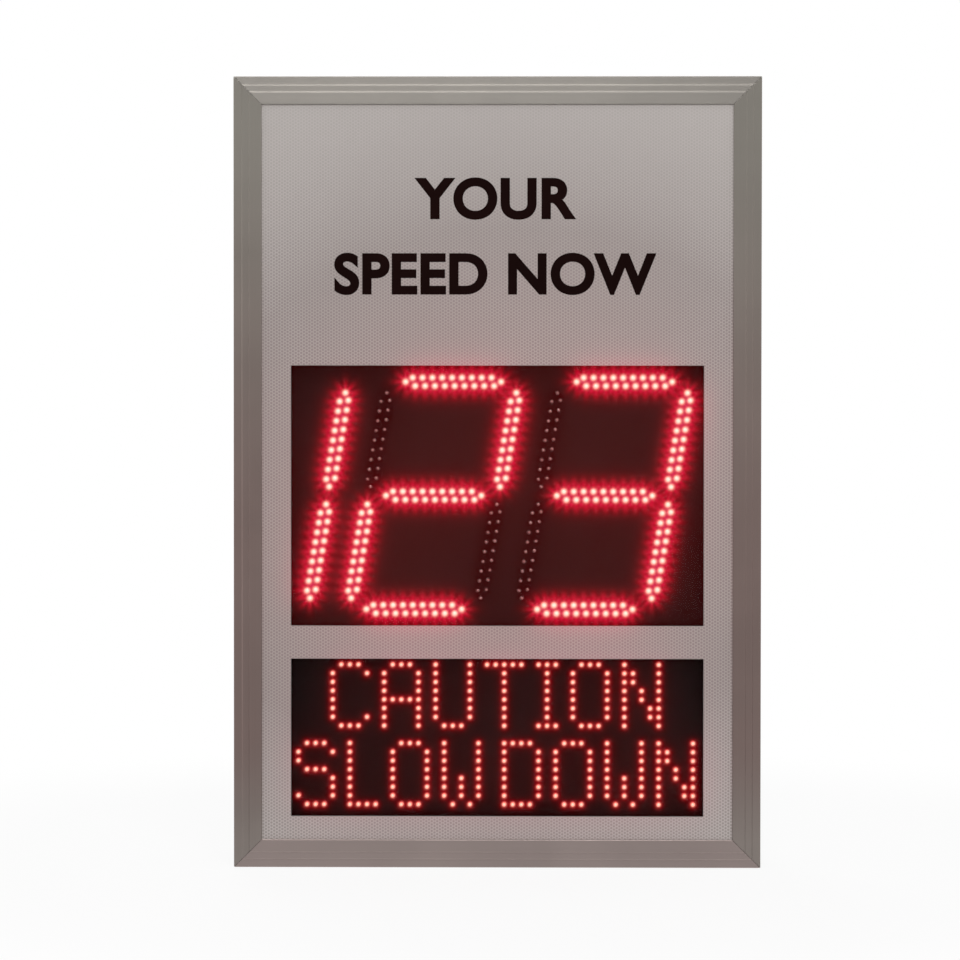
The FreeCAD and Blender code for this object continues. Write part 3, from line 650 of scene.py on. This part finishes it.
@dataclass(frozen=True)
class Lamp:
    """A round domed LED that stands on a board and points forward."""

    radius: float = 2.5 * MM
    rim_radius: float = 2.8 * MM
    rim_height: float = 1.0 * MM
    sides: int = 16
    dome_steps: int = 5

    def outline(self, height: float) -> list[tuple[float, float]]:
        """Draws the half section without its tip.

        Args:
            height: From the board to the tip.

        Returns:
            Radius and height above the board of each point.
        """
        shoulder = height - self.radius
        points = [(self.rim_radius, 0.0), (self.rim_radius, self.rim_height)]
        points.append((self.radius, self.rim_height))
        for step in range(self.dome_steps):
            turn = math.pi / 2.0 * step / self.dome_steps
            points.append((self.radius * math.cos(turn), shoulder + self.radius * math.sin(turn)))
        return points

    def mesh(self, places: np.ndarray, foot: float, tip: float) -> Mesh:
        """Builds one mesh of many lamps.

        Args:
            places: X and Z of each lamp.
            foot: Y of the board's front.
            tip: Y of the lamps' tips.

        Returns:
            The new mesh.
        """
        outline = self.outline(foot - tip)
        turns = [2.0 * math.pi * side / self.sides for side in range(self.sides)]
        ring = [(math.cos(turn), math.sin(turn)) for turn in turns]
        single = [(radius * x, foot - height, radius * z) for radius, height in outline for x, z in ring]
        single.append((0.0, tip, 0.0))
        count = len(single)
        last = (len(outline) - 1) * self.sides
        pairs = [(side, (side + 1) % self.sides) for side in range(self.sides)]
        faces = []
        for near in range(0, last, self.sides):
            far = near + self.sides
            faces += [(near + side, near + after, far + after, far + side) for side, after in pairs]
        faces += [(last + side, last + after, count - 1) for side, after in pairs]
        points = [(x + px, y, z + pz) for px, pz in places for x, y, z in single]
        starts = range(0, len(points), count)
        every = [[start + corner for corner in face] for start in starts for face in faces]
        return mesh_of(points, every)


@dataclass(frozen=True)
class Glow:
    """How a lit lamp's light spreads over what is in front of it."""

    halo_colour: Colour
    halo_reach: float
    haze_colour: Colour
    haze_reach: float
    core_colour: Colour = BLACK
    core_reach: float = 1.0 * MM
    core_power: float = 2.6
    halo_limit: float = 1.5
    rays: int = 8
    ray_gain: float = 0.0
    ray_reach: float = 1.6

    def at(self, points: np.ndarray, lamps: np.ndarray) -> np.ndarray:
        """Adds up the light of all lamps.

        Args:
            points: X and Z of each point.
            lamps: X and Z of each lamp.

        Returns:
            Red, green and blue at each point.
        """
        light = np.zeros((len(points), 3))
        halo = np.zeros((len(points), 3))
        for lamp in lamps:
            away = points - lamp
            gap = np.hypot(away[:, 0], away[:, 1])[:, None]
            turn = np.arctan2(away[:, 1], away[:, 0])[:, None]
            growth = np.minimum(gap / self.halo_reach, self.ray_reach)
            star = 1.0 + self.ray_gain * np.cos(self.rays * turn) * growth
            light += np.exp(-((gap / self.core_reach) ** self.core_power)) * np.array(self.core_colour)
            light += np.exp(-gap / self.haze_reach) * np.array(self.haze_colour)
            halo += np.exp(-gap / self.halo_reach) * star * np.array(self.halo_colour)
        return light + self.halo_limit * (1.0 - np.exp(-halo / self.halo_limit))


def stepped_lines(stops: Sequence[float], steps: Sequence[float]) -> Lines:
    """Divides a length into stretches, and each stretch into even steps.

    Args:
        stops: Where the stretches start and end, in order.
        steps: The longest step of each stretch.

    Returns:
        The places of the dividing lines.
    """
    lines = [stops[0]]
    for low, high, step in zip(stops, stops[1:], steps):
        count = max(1, math.ceil((high - low) / step - COUNT_SLACK))
        lines += [low + (high - low) * index / count for index in range(1, count + 1)]
    return lines


class Window(NamedTuple):
    """One of the two windows in the face."""

    left: float
    low: float
    right: float
    high: float

    @classmethod
    def of_seal(cls, seal: str, inset: float) -> "Window":
        """Returns the window that lies that far inside the outer edge of its seal."""
        low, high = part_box(seal)
        return cls(low.x + inset, low.z + inset, high.x - inset, high.z - inset)


@dataclass(frozen=True)
class Sheet:
    """A flat upright sheet with square holes, divided into a grid."""

    across: Lines
    upward: Lines
    front: float
    back: float
    holes: tuple[Window, ...] = ()

    def is_open(self, x: float, z: float) -> bool:
        """Says whether a place lies in a hole."""
        return any(hole.left < x < hole.right and hole.low < z < hole.high for hole in self.holes)

    def mesh(self) -> Mesh:
        """Builds the closed sheet, with a grid on its front and back and walls round every edge.

        Returns:
            The new mesh.
        """
        columns = len(self.across)
        layer = columns * len(self.upward)
        filled = set()
        for row, (low, high) in enumerate(zip(self.upward, self.upward[1:])):
            for column, (left, right) in enumerate(zip(self.across, self.across[1:])):
                if not self.is_open((left + right) / 2.0, (low + high) / 2.0):
                    filled.add((row, column))
        faces = []
        for row, column in sorted(filled):
            start = row * columns + column
            ring = [start, start + 1, start + columns + 1, start + columns]
            faces.append(ring)
            faces.append([layer + corner for corner in reversed(ring)])
            for side, (up, right) in enumerate(((-1, 0), (0, 1), (1, 0), (0, -1))):
                if (row + up, column + right) not in filled:
                    start, end = ring[side], ring[(side + 1) % 4]
                    faces.append([end, start, layer + start, layer + end])
        points = [(x, y, z) for y in (self.front, self.back) for z in self.upward for x in self.across]
        used = sorted({corner for face in faces for corner in face})
        order = {corner: index for index, corner in enumerate(used)}
        kept = [[order[corner] for corner in face] for face in faces]
        return mesh_of([points[corner] for corner in used], kept)

    def backed_mesh(self) -> Mesh:
        """Builds a closed sheet without holes, with the grid on its back alone.

        Returns:
            The new mesh.
        """
        columns = len(self.across)
        rows = len(self.upward)
        points = [(x, self.back, z) for z in self.upward for x in self.across]
        first = len(points)
        corners = [(x, z) for z in self.upward[:: rows - 1] for x in self.across[:: columns - 1]]
        points += [(x, self.front, z) for x, z in corners]
        faces = []
        for row in range(rows - 1):
            for corner in range(row * columns, (row + 1) * columns - 1):
                faces.append([corner, corner + columns, corner + columns + 1, corner + 1])
        ring = [first, first + 1, first + 3, first + 2]
        faces.append(ring)
        low = list(range(columns))
        right = list(range(columns - 1, first, columns))
        high = list(range(first - 1, first - columns - 1, -1))
        left = list(range(first - columns, -1, -columns))
        for side, line in enumerate((low, right, high, left)):
            faces += [[ring[side], start, end] for start, end in zip(line, line[1:])]
            faces.append([ring[side], line[-1], ring[(side + 1) % 4]])
        return mesh_of(points, faces)


def lay_light(mesh: Mesh, face_y: float, light: Callable[[np.ndarray], np.ndarray]) -> None:
    """Stores the lamps' light on one face of a sheet.

    Args:
        mesh: The sheet's mesh.
        face_y: Y of the face that shows the light.
        light: Function from rows of X and Z to rows of red, green and blue.
    """
    places = points_of(mesh)
    lit = np.abs(places[:, 1] - face_y) < SAME_POINT
    colours = np.tile(shade(BLACK), (len(places), 1))
    colours[lit, :3] = light(places[lit][:, [0, 2]])
    layer = mesh.color_attributes.new(GLOW, "FLOAT_COLOR", "POINT")
    layer.data.foreach_set("color", colours.ravel())


@dataclass
class Display:
    """The LED figures and the LED message behind their panes."""

    seal_inset: float = 12.0 * MM
    lit: tuple[str, ...] = (
        "hundreds_upper_right", "hundreds_lower_right",
        "tens_top", "tens_upper_right", "tens_middle", "tens_lower_left", "tens_bottom",
        "units_top", "units_upper_right", "units_middle", "units_lower_right", "units_bottom",
    )
    message: tuple[str, ...] = ("CAUTION", "SLOW DOWN")
    column_pitch: float = 9.8 * MM
    row_pitch: float = 10.0 * MM
    glyph_rows: int = 8
    first_row_drop: float = 7.3 * MM
    message_shift: float = -1.7 * MM
    glow_step: float = 1.25 * MM
    pane_step: float = 20.0 * MM
    digit_glow: Glow = Glow(
        core_colour=(0.66, 0.83, 0.56), core_reach=3.2 * MM,
        halo_colour=(3.35, 0.0143, 0.089), halo_reach=3.95 * MM,
        haze_colour=(0.00105, 0.00001, 0.00001), haze_reach=78.0 * MM,
        halo_limit=0.69, ray_gain=0.45,
    )
    message_glow: Glow = Glow(
        core_colour=(0.5, 0.84, 0.59), core_reach=2.0 * MM, core_power=2.25,
        halo_colour=(2.85, 0.001, 0.043), halo_reach=1.6 * MM,
        haze_colour=(0.0042, 0.00001, 0.00001), haze_reach=16.0 * MM,
    )
    glyphs: tuple[tuple[str, str], ...] = (
        ("A", ".###. #...# #...# #...# ##### #...# #...# #...#"),
        ("C", ".###. #...# #.... #.... #.... #.... #...# .###."),
        ("D", "####. #...# #...# #...# #...# #...# #...# ####."),
        ("I", "### .#. .#. .#. .#. .#. .#. ###"),
        ("L", "#... #... #... #... #... #... #... ####"),
        ("N", "#...# ##..# ##..# #.#.# #.#.# #..## #..## #...#"),
        ("O", ".###. #...# #...# #...# #...# #...# #...# .###."),
        ("S", ".###. #...# #.... .###. ....# ....# #...# .###."),
        ("T", "##### ..#.. ..#.. ..#.. ..#.. ..#.. ..#.. ..#.."),
        ("U", "#...# #...# #...# #...# #...# #...# #...# .###."),
        ("W", "#...# #...# #...# #...# #.#.# #.#.# #.#.# .#.#."),
    )

    def __post_init__(self) -> None:
        """Reads the windows, the planes of the boards and the places of the lamps from the solids."""
        self.digit_window = Window.of_seal("digit_window_seal", self.seal_inset)
        self.message_window = Window.of_seal("message_window_seal", self.seal_inset)
        self.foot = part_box("tens_segment_boards")[0].y
        self.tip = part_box("tens_top_leds")[0].y
        nodes = sorted(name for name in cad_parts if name.endswith("_leds"))
        self.segments = {name: lamp_places(name) for name in nodes}
        self.lit_places = np.concatenate([self.segments[name] for name in nodes if self.is_lit(name)])
        self.message_places = self.place_message()

    def is_lit(self, node: str) -> bool:
        """Says whether the lamps of a segment are on."""
        return node.removesuffix("_leds") in self.lit

    def place_message(self) -> np.ndarray:
        """Places the lamps of the message.

        Returns:
            One row of X and Z for each lamp.
        """
        patterns = {letter: rows.split() for letter, rows in self.glyphs}
        places = []
        for line, words in enumerate(self.message):
            top = self.message_window.high - self.first_row_drop
            top -= line * (self.glyph_rows + 1) * self.row_pitch
            dots = []
            column = 0
            for letter in words:
                pattern = patterns.get(letter, [""])
                for row, marks in enumerate(pattern):
                    dots += [(column + step, row) for step, mark in enumerate(marks) if mark == "#"]
                column += len(pattern[0]) + 1
            start = self.message_shift - self.column_pitch * (column - 2) / 2.0
            for step, row in dots:
                places.append((start + step * self.column_pitch, top - row * self.row_pitch))
        return np.array(places)

    def lens(self, slot: str, colour: Colour, **light: Any) -> LampFinish:
        """Returns the finish of one kind of lamp, with the light that it gives."""
        return LampFinish(slot, colour, 0.12, gloss_spread=0.04, grain_depth=0.01 * MM,
                          foot=self.foot, tip=self.tip, **light)

    def build_lamps(self) -> None:
        """Builds the lamps of every segment and of the message."""
        lit = self.lens("led_lit", (0.4, 0.05, 0.05), strength=0.3,
                        glow_foot=(1.0, 0.02, 0.04), glow_tip=(1.0, 0.12, 0.1))
        unlit = self.lens("led_unlit", (0.255, 0.092, 0.09), foot_shade=0.1, fade_start=0.86)
        message = self.lens("message_led", (0.25, 0.03, 0.03), strength=0.15,
                            glow_foot=(1.0, 0.03, 0.03), glow_tip=(1.0, 0.12, 0.08))
        lamp = Lamp()
        for node, places in self.segments.items():
            mesh = lamp.mesh(places, self.foot, self.tip)
            finish = lit if self.is_lit(node) else unlit
            put_piece(node.replace("_leds", "_lamps"), mesh, finish, node, smooth=True)
        mesh = lamp.mesh(self.message_places, self.foot, self.tip)
        put_piece("message_lamps", mesh, message, smooth=True)

    def build_panes(self) -> None:
        """Builds both clear panes, with the lamps' light on the face towards the lamps."""
        clear = PaneFinish("pane_clear", WHITE, 0.03, specular=0.03, tone_spread=0.0,
                           gloss_spread=0.01, grain_depth=0.002 * MM)
        steps = (self.pane_step, self.glow_step, self.pane_step)
        for node, window, glow, lamps in (
            ("digit_window_pane", self.digit_window, self.digit_glow, self.lit_places),
            ("message_window_pane", self.message_window, self.message_glow, self.message_places),
        ):
            low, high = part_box(node)
            across = stepped_lines((low.x, window.left, window.right, high.x), steps)
            upward = stepped_lines((low.z, window.low, window.high, high.z), steps)
            mesh = Sheet(across, upward, low.y, high.y).backed_mesh()
            lay_light(mesh, high.y, partial(glow.at, lamps=lamps))
            put_piece(node.replace("_window_pane", "_pane"), mesh, clear, node)

    def dress_carriers(self) -> None:
        """Dresses the boards, their plate, spacers and seals."""
        board = Finish("display_board", (0.004, 0.0035, 0.0034), 0.55, specular=0.02, tone_spread=0.15)
        plate = Finish("carrier_plate", (0.008, 0.005, 0.0048), 0.6, specular=0.03, grain_scale=500.0)
        seal = Finish("seal_rubber", (0.02, 0.02, 0.02), 0.8, specular=0.2, grain_depth=0.06 * MM)
        dress(board, *(f"{figure}_segment_boards" for figure in ("hundreds", "tens", "units")))
        dress(board, "message_board")
        dress(plate, "display_carrier_plate")
        dress(Finish("spacer_plastic", (0.05, 0.05, 0.05), 0.5), "board_spacers")
        dress(seal, "digit_window_seal", "message_window_seal", "rear_cover_gasket")


@dataclass
class Face:
    """The front panel, its reflective film and the legend."""

    display: Display
    lines: tuple[str, ...] = ("YOUR", "SPEED NOW")
    line_middles: tuple[float, ...] = (311.5 * MM, 226.0 * MM)
    legend_shift: float = -2.5 * MM
    cap_height: float = 48.0 * MM
    stroke_gain: float = 0.036
    letter_spacing: float = 1.05
    vinyl: float = 0.12 * MM
    fine_step: float = 2.0 * MM
    coarse_step: float = 5.0 * MM
    fine_reach: float = 16.0 * MM
    digit_spill: Glow = Glow((0.177, 0.0, 0.016), 9.0 * MM, (0.00123, 0.0, 0.0), 130.0 * MM)
    message_spill: Glow = Glow((0.03, 0.0, 0.005), 8.0 * MM, (0.0079, 0.0, 0.001), 25.0 * MM)
    # Painted shade on the film: how it spreads from the lit figures, and the nearness at which it is
    # full.
    painted_shade_spread: Glow = Glow(BLACK, 1.0 * MM, WHITE, 154.0 * MM)
    painted_shade_level: float = 0.44

    def light(self, points: np.ndarray) -> np.ndarray:
        """Returns the lamps' light that spills over the film, as red, green and blue at each point."""
        spill = self.digit_spill.at(points, self.display.lit_places)
        return spill + self.message_spill.at(points, self.display.message_places)

    def graded_lines(self, low: float, high: float, edges: Sequence[float]) -> Lines:
        """Divides a length into steps that are fine beside some edges and coarse elsewhere.

        Args:
            low: Start of the length.
            high: End of the length.
            edges: Places to divide finely around.

        Returns:
            The places of the dividing lines.
        """
        reach = self.fine_reach
        marks = {edge + side for edge in edges for side in (-reach, 0.0, reach)}
        stops = sorted({low, high} | {mark for mark in marks if low <= mark <= high})
        steps = []
        for start, end in zip(stops, stops[1:]):
            close = any(abs((start + end) / 2.0 - edge) < reach for edge in edges)
            steps.append(self.fine_step if close else self.coarse_step)
        return stepped_lines(stops, steps)

    def build_film(self) -> None:
        """Builds the film as a divided sheet, which holds the painted light that spills from the lamps
        and the painted shade near the lit figures.
        """
        finish = FilmFinish("reflective_film", (0.395, 0.371, 0.354), 0.42, specular=0.3,
                            tone_spread=0.03, gloss_spread=0.08, grain_depth=0.05 * MM)
        low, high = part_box("reflective_film")
        holes = (self.display.digit_window, self.display.message_window)
        sides = [edge for hole in holes for edge in (hole.left, hole.right)]
        levels = [edge for hole in holes for edge in (hole.low, hole.high)]
        across = self.graded_lines(low.x, high.x, sides)
        upward = self.graded_lines(low.z, high.z, levels)
        mesh = Sheet(across, upward, low.y, high.y, holes).mesh()
        lay_light(mesh, low.y, self.light)
        # Painted shade: the film darkens near the lit figures.
        painted_shade = mesh.attributes.new(PAINTED_SHADE, "FLOAT", "POINT")
        near = self.painted_shade_spread.at(points_of(mesh)[:, [0, 2]], self.display.lit_places)[:, 0]
        painted_shade.data.foreach_set("value", np.minimum(near / near.max() / self.painted_shade_level, 1.0))
        put_piece("honeycomb_film", mesh, finish, "reflective_film")

    def letters(self, words: str) -> Mesh:
        """Draws words in a plain typeface.

        Args:
            words: The words.

        Returns:
            Their mesh, in the typeface's own units, with its back below Z 0 and its front above.
        """
        curve = bpy.data.curves.new("legend_outline", "FONT")
        curve.body = words
        curve.offset = self.stroke_gain
        curve.space_character = self.letter_spacing
        curve.extrude = 1.0
        outline = show("legend_outline", curve)
        bpy.context.view_layer.update()
        drawn = outline.evaluated_get(bpy.context.evaluated_depsgraph_get())
        mesh = bpy.data.meshes.new_from_object(drawn)
        bpy.data.objects.remove(outline)
        return mesh

    def build_legend(self) -> None:
        """Cuts the legend in thin vinyl on the film."""
        finish = Finish("legend_vinyl", (0.006, 0.002, 0.0018), 0.5, specular=0.01, tone_spread=0.2,
                        grain_scale=600.0)
        film_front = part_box("reflective_film")[0].y
        for index, (words, middle) in enumerate(zip(self.lines, self.line_middles), 1):
            mesh = self.letters(words)
            drawn = points_of(mesh)
            low, high = drawn.min(axis=0), drawn.max(axis=0)
            flat = (drawn - (low + high) / 2.0) * (self.cap_height / (high[1] - low[1]))
            depth = film_front - np.where(drawn[:, 2] > 0.0, self.vinyl, 0.0)
            placed = np.column_stack((flat[:, 0] + self.legend_shift, depth, flat[:, 1] + middle))
            mesh.vertices.foreach_set("co", placed.ravel())
            mesh.update()
            put_piece(f"legend_line_{index}", mesh, finish)

    def dress_panel(self) -> None:
        """Dresses the panel behind the film."""
        dress(Finish("panel_sheet", (0.42, 0.41, 0.4), 0.5), "front_panel")


@dataclass
class Cabinet:
    """The frame, its brackets, the rear cover and what is screwed to it."""

    # Foot, waist and head tones of the level and upright profiles; their differences by height are
    # painted light and shade.
    level_light_shade_tones: Tones = ((0.24, 0.196, 0.184), (0.24, 0.196, 0.184), (0.198, 0.185, 0.168))
    upright_light_shade_tones: Tones = ((0.225, 0.195, 0.178), (0.178, 0.131, 0.12), (0.22, 0.206, 0.182))
    edge_break: float = 0.12 * MM
    profile_break: float = 0.3 * MM

    def dress_frame(self) -> None:
        """Dresses the four profiles, each with its lines along it and painted light and shade by height,
        and the metal inside them.
        """
        for run, tones, sides in (
            (Run.LEVEL, self.level_light_shade_tones, ("top", "bottom")),
            (Run.UPRIGHT, self.upright_light_shade_tones, ("left", "right")),
        ):
            foot, waist, head = tones
            finish = DrawnFinish(
                "frame_aluminium", head, 0.36, label=f"frame_aluminium_{run.name.lower()}", metallic=1.0,
                tone_spread=0.05, gloss_spread=0.07, grain_depth=0.002 * MM,
                run=run, foot_light_shade_colour=foot, waist_light_shade_colour=waist,
            )
            dress(finish, *(f"{side}_frame_profile" for side in sides), edge=self.profile_break)
        zinc = SpangledFinish("zinc_steel", (0.5, 0.5, 0.49), 0.35, metallic=1.0)
        corners = ("bottom_left", "top_left", "top_right", "bottom_right")
        dress(zinc, *(f"{corner}_corner_bracket" for corner in corners))
        dress(zinc, "carrier_standoffs", "controller_standoffs", "radar_standoffs")

    def dress_rear(self) -> None:
        """Dresses the rear cover, the post rails, their screws and the cable gland."""
        cover = Finish("cover_sheet", (0.33, 0.335, 0.335), 0.5, specular=0.4, grain_scale=1400.0,
                       grain_depth=0.05 * MM, tone_spread=0.05)
        steel = Finish("fastener_steel", (0.5, 0.5, 0.5), 0.28, metallic=1.0, grain_scale=2500.0)
        rail = SpangledFinish("rail_steel", (0.46, 0.47, 0.48), 0.42, metallic=1.0, spangle_scale=110.0)
        gland = Finish("gland_plastic", (0.022, 0.022, 0.024), 0.45, grain_scale=1800.0)
        for finish, nodes in (
            (cover, ("rear_cover",)),
            (steel, ("rear_cover_screws", "rail_bolts", "rail_nuts")),
            (rail, ("upper_mounting_rail", "lower_mounting_rail")),
            (gland, ("cable_gland_body", "cable_gland_locknut", "cable_gland_cap")),
        ):
            dress(finish, *nodes, edge=self.edge_break)


class Electronics:
    """The boards and boxes inside the cabinet."""

    def dress_all(self) -> None:
        """Dresses the controller, supply, radar module and terminals."""
        dress(Finish("controller_board", (0.03, 0.14, 0.07), 0.35, tone_spread=0.2), "controller_board")
        dress(SpangledFinish("supply_case", (0.55, 0.55, 0.55), 0.4, metallic=1.0), "power_supply")
        dress(Finish("radar_housing", (0.05, 0.05, 0.055), 0.5, grain_scale=1600.0), "radar_module")
        dress(Finish("terminal_plastic", (0.5, 0.48, 0.43), 0.45), "terminal_block")


@dataclass(frozen=True)
class SoftLamp:
    """A soft lamp, for matt surfaces alone or for highlights on metal alone."""

    name: str
    place: Place
    size: tuple[float, float]
    power: float
    for_metal: bool = False

    def hang(self, target: Place) -> None:
        """Hangs the lamp.

        Args:
            target: The place that it points at.
        """
        light = bpy.data.lights.new(self.name, "AREA")
        light.shape = "RECTANGLE"
        light.size, light.size_y = self.size
        light.energy = self.power
        holder = show(self.name, light)
        holder.location = self.place
        aim = Vector(target) - Vector(self.place)
        holder.rotation_euler = aim.to_track_quat("-Z", "Y").to_euler()
        holder.visible_diffuse = not self.for_metal
        holder.visible_glossy = self.for_metal
        holder.visible_transmission = self.for_metal


@dataclass
class Studio:
    """The floor, the light and the camera."""

    floor_half: float = 12.0
    floor_colour: Colour = (0.8, 0.8, 0.8)
    floor_spread: float = 0.01
    floor_grain: float = 40.0
    floor_white: float = 0.9
    shadow_reach: float = 0.6
    ambient: float = 0.5
    lamp_target: Place = (0.0, -0.1, 0.1)
    lamps: tuple[SoftLamp, ...] = (
        SoftLamp("fill", (0.5, -3.9, 0.9), (2.2, 2.2), 135.0),
        SoftLamp("rear", (-0.9, 3.6, 1.4), (2.2, 2.2), 75.0),
        SoftLamp("strip", (-0.1, -1.5, 2.0), (1.35, 1.6), 41.0, for_metal=True),
        SoftLamp("left_side", (-2.4, -0.9, 0.1), (1.2, 2.4), 7.0, for_metal=True),
        SoftLamp("right_side", (2.4, -0.9, 0.1), (1.2, 2.4), 7.0, for_metal=True),
    )
    image_side: int = 960
    sign_pixel: tuple[float, float] = (497.25, 472.8)
    pixel: float = 1.1365 * MM
    azimuth: float = 0.55
    elevation: float = 1.0
    roll: float = 0.04
    distance: float = 3.4

    def seen(self, sheet: NodeSheet) -> Socket:
        """Tells apart the rays that show the white background.

        Args:
            sheet: The node sheet of the floor or the world.

        Returns:
            A value that is 1 for a ray that comes straight, mirrored or through glass from the camera.
        """
        path = sheet.add("LightPath").outputs
        direct = sheet.maths("MAXIMUM", path["Is Camera Ray"], path["Is Glossy Ray"])
        return sheet.maths("MAXIMUM", direct, path["Is Transmission Ray"])

    def build_light(self) -> None:
        """Makes a white background with an even soft light, and hangs the lamps."""
        world = bpy.data.worlds.new("studio")
        bpy.context.scene.world = world
        sheet = NodeSheet.blank(world)
        soft = sheet.add("Background", {"Color": shade(WHITE), "Strength": self.ambient})
        white = sheet.add("Background", {"Color": shade(WHITE), "Strength": 1.0})
        mixed = sheet.add("MixShader", {0: self.seen(sheet), 1: soft.outputs[0], 2: white.outputs[0]})
        sheet.add("OutputWorld", {"Surface": mixed.outputs[0]})
        for lamp in self.lamps:
            lamp.hang(self.lamp_target)

    def build_camera(self) -> None:
        """Sets the camera so that the front of the sign fills the same pixels as in the photograph."""
        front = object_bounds()[0][1]
        middle = self.image_side / 2.0
        across, down = self.sign_pixel
        target = Vector(((middle - across) * self.pixel, front, (down - middle) * self.pixel))
        turn = math.radians(self.azimuth)
        lift = math.radians(self.elevation)
        level = math.cos(lift)
        away = Vector((math.sin(turn) * level, -math.cos(turn) * level, math.sin(lift)))
        data = bpy.data.cameras.new("camera")
        data.lens = data.sensor_width * self.distance / (self.pixel * self.image_side)
        camera = show("camera", data)
        camera.location = target + away * self.distance
        aim = (-away).to_track_quat("-Z", "Y") @ Quaternion((0.0, 0.0, 1.0), math.radians(self.roll))
        camera.rotation_euler = aim.to_euler()
        bpy.context.scene.camera = camera

    def build_floor(self) -> None:
        """Lays a pale floor that meets the background and keeps a soft shadow."""
        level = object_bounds()[0][2]
        half = self.floor_half
        corners = [(x, y, level) for y in (-half, half) for x in (-half, half)]
        floor = show("floor", mesh_of(corners, [(0, 1, 3, 2)]))
        material = bpy.data.materials.new("floor")
        sheet = NodeSheet.blank(material)
        grain = sheet.add("TexNoise", {"Vector": sheet.place(), "Scale": self.floor_grain}).outputs[0]
        dark = shade(self.floor_colour, 1.0 - self.floor_spread)
        light = shade(self.floor_colour, 1.0 + self.floor_spread)
        matt = sheet.add("BsdfDiffuse", {"Color": sheet.tint(grain, dark, light)})
        white = sheet.add("Emission", {"Color": shade(WHITE), "Strength": 1.0})
        gap = sheet.vector_maths("DISTANCE", sheet.place(), (0.0, 0.0, level))
        clear = sheet.spread(gap, self.shadow_reach, 2.0 * self.shadow_reach, self.floor_white, 1.0)
        share = sheet.maths("MULTIPLY", self.seen(sheet), clear)
        mixed = sheet.add("MixShader", {0: share, 1: matt.outputs[0], 2: white.outputs[0]})
        sheet.add("OutputMaterial", {"Surface": mixed.outputs[0]})
        floor.data.materials.append(material)
        floor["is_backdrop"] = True


def save_sizes() -> None:
    """Works out the box of the solids and the box of the dressed sign as plain numbers."""
    boxes = {"cad": cad_box, "visual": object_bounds()}
    plain = {name: [[float(value) for value in corner] for corner in box] for name, box in boxes.items()}


def main() -> None:
    """Builds and dresses the sign, piece by piece, then the studio round it."""
    logging.basicConfig(level=logging.INFO, format="%(message)s")
    display = Display()
    display.dress_carriers()
    display.build_lamps()
    display.build_panes()
    face = Face(display)
    face.dress_panel()
    face.build_film()
    face.build_legend()
    cabinet = Cabinet()
    cabinet.dress_frame()
    cabinet.dress_rear()
    Electronics().dress_all()
    studio = Studio()
    studio.build_light()
    studio.build_camera()
    studio.build_floor()
    bpy.context.scene.view_settings.view_transform = "Standard"
    save_sizes()


if __name__ == "__main__":
    main()
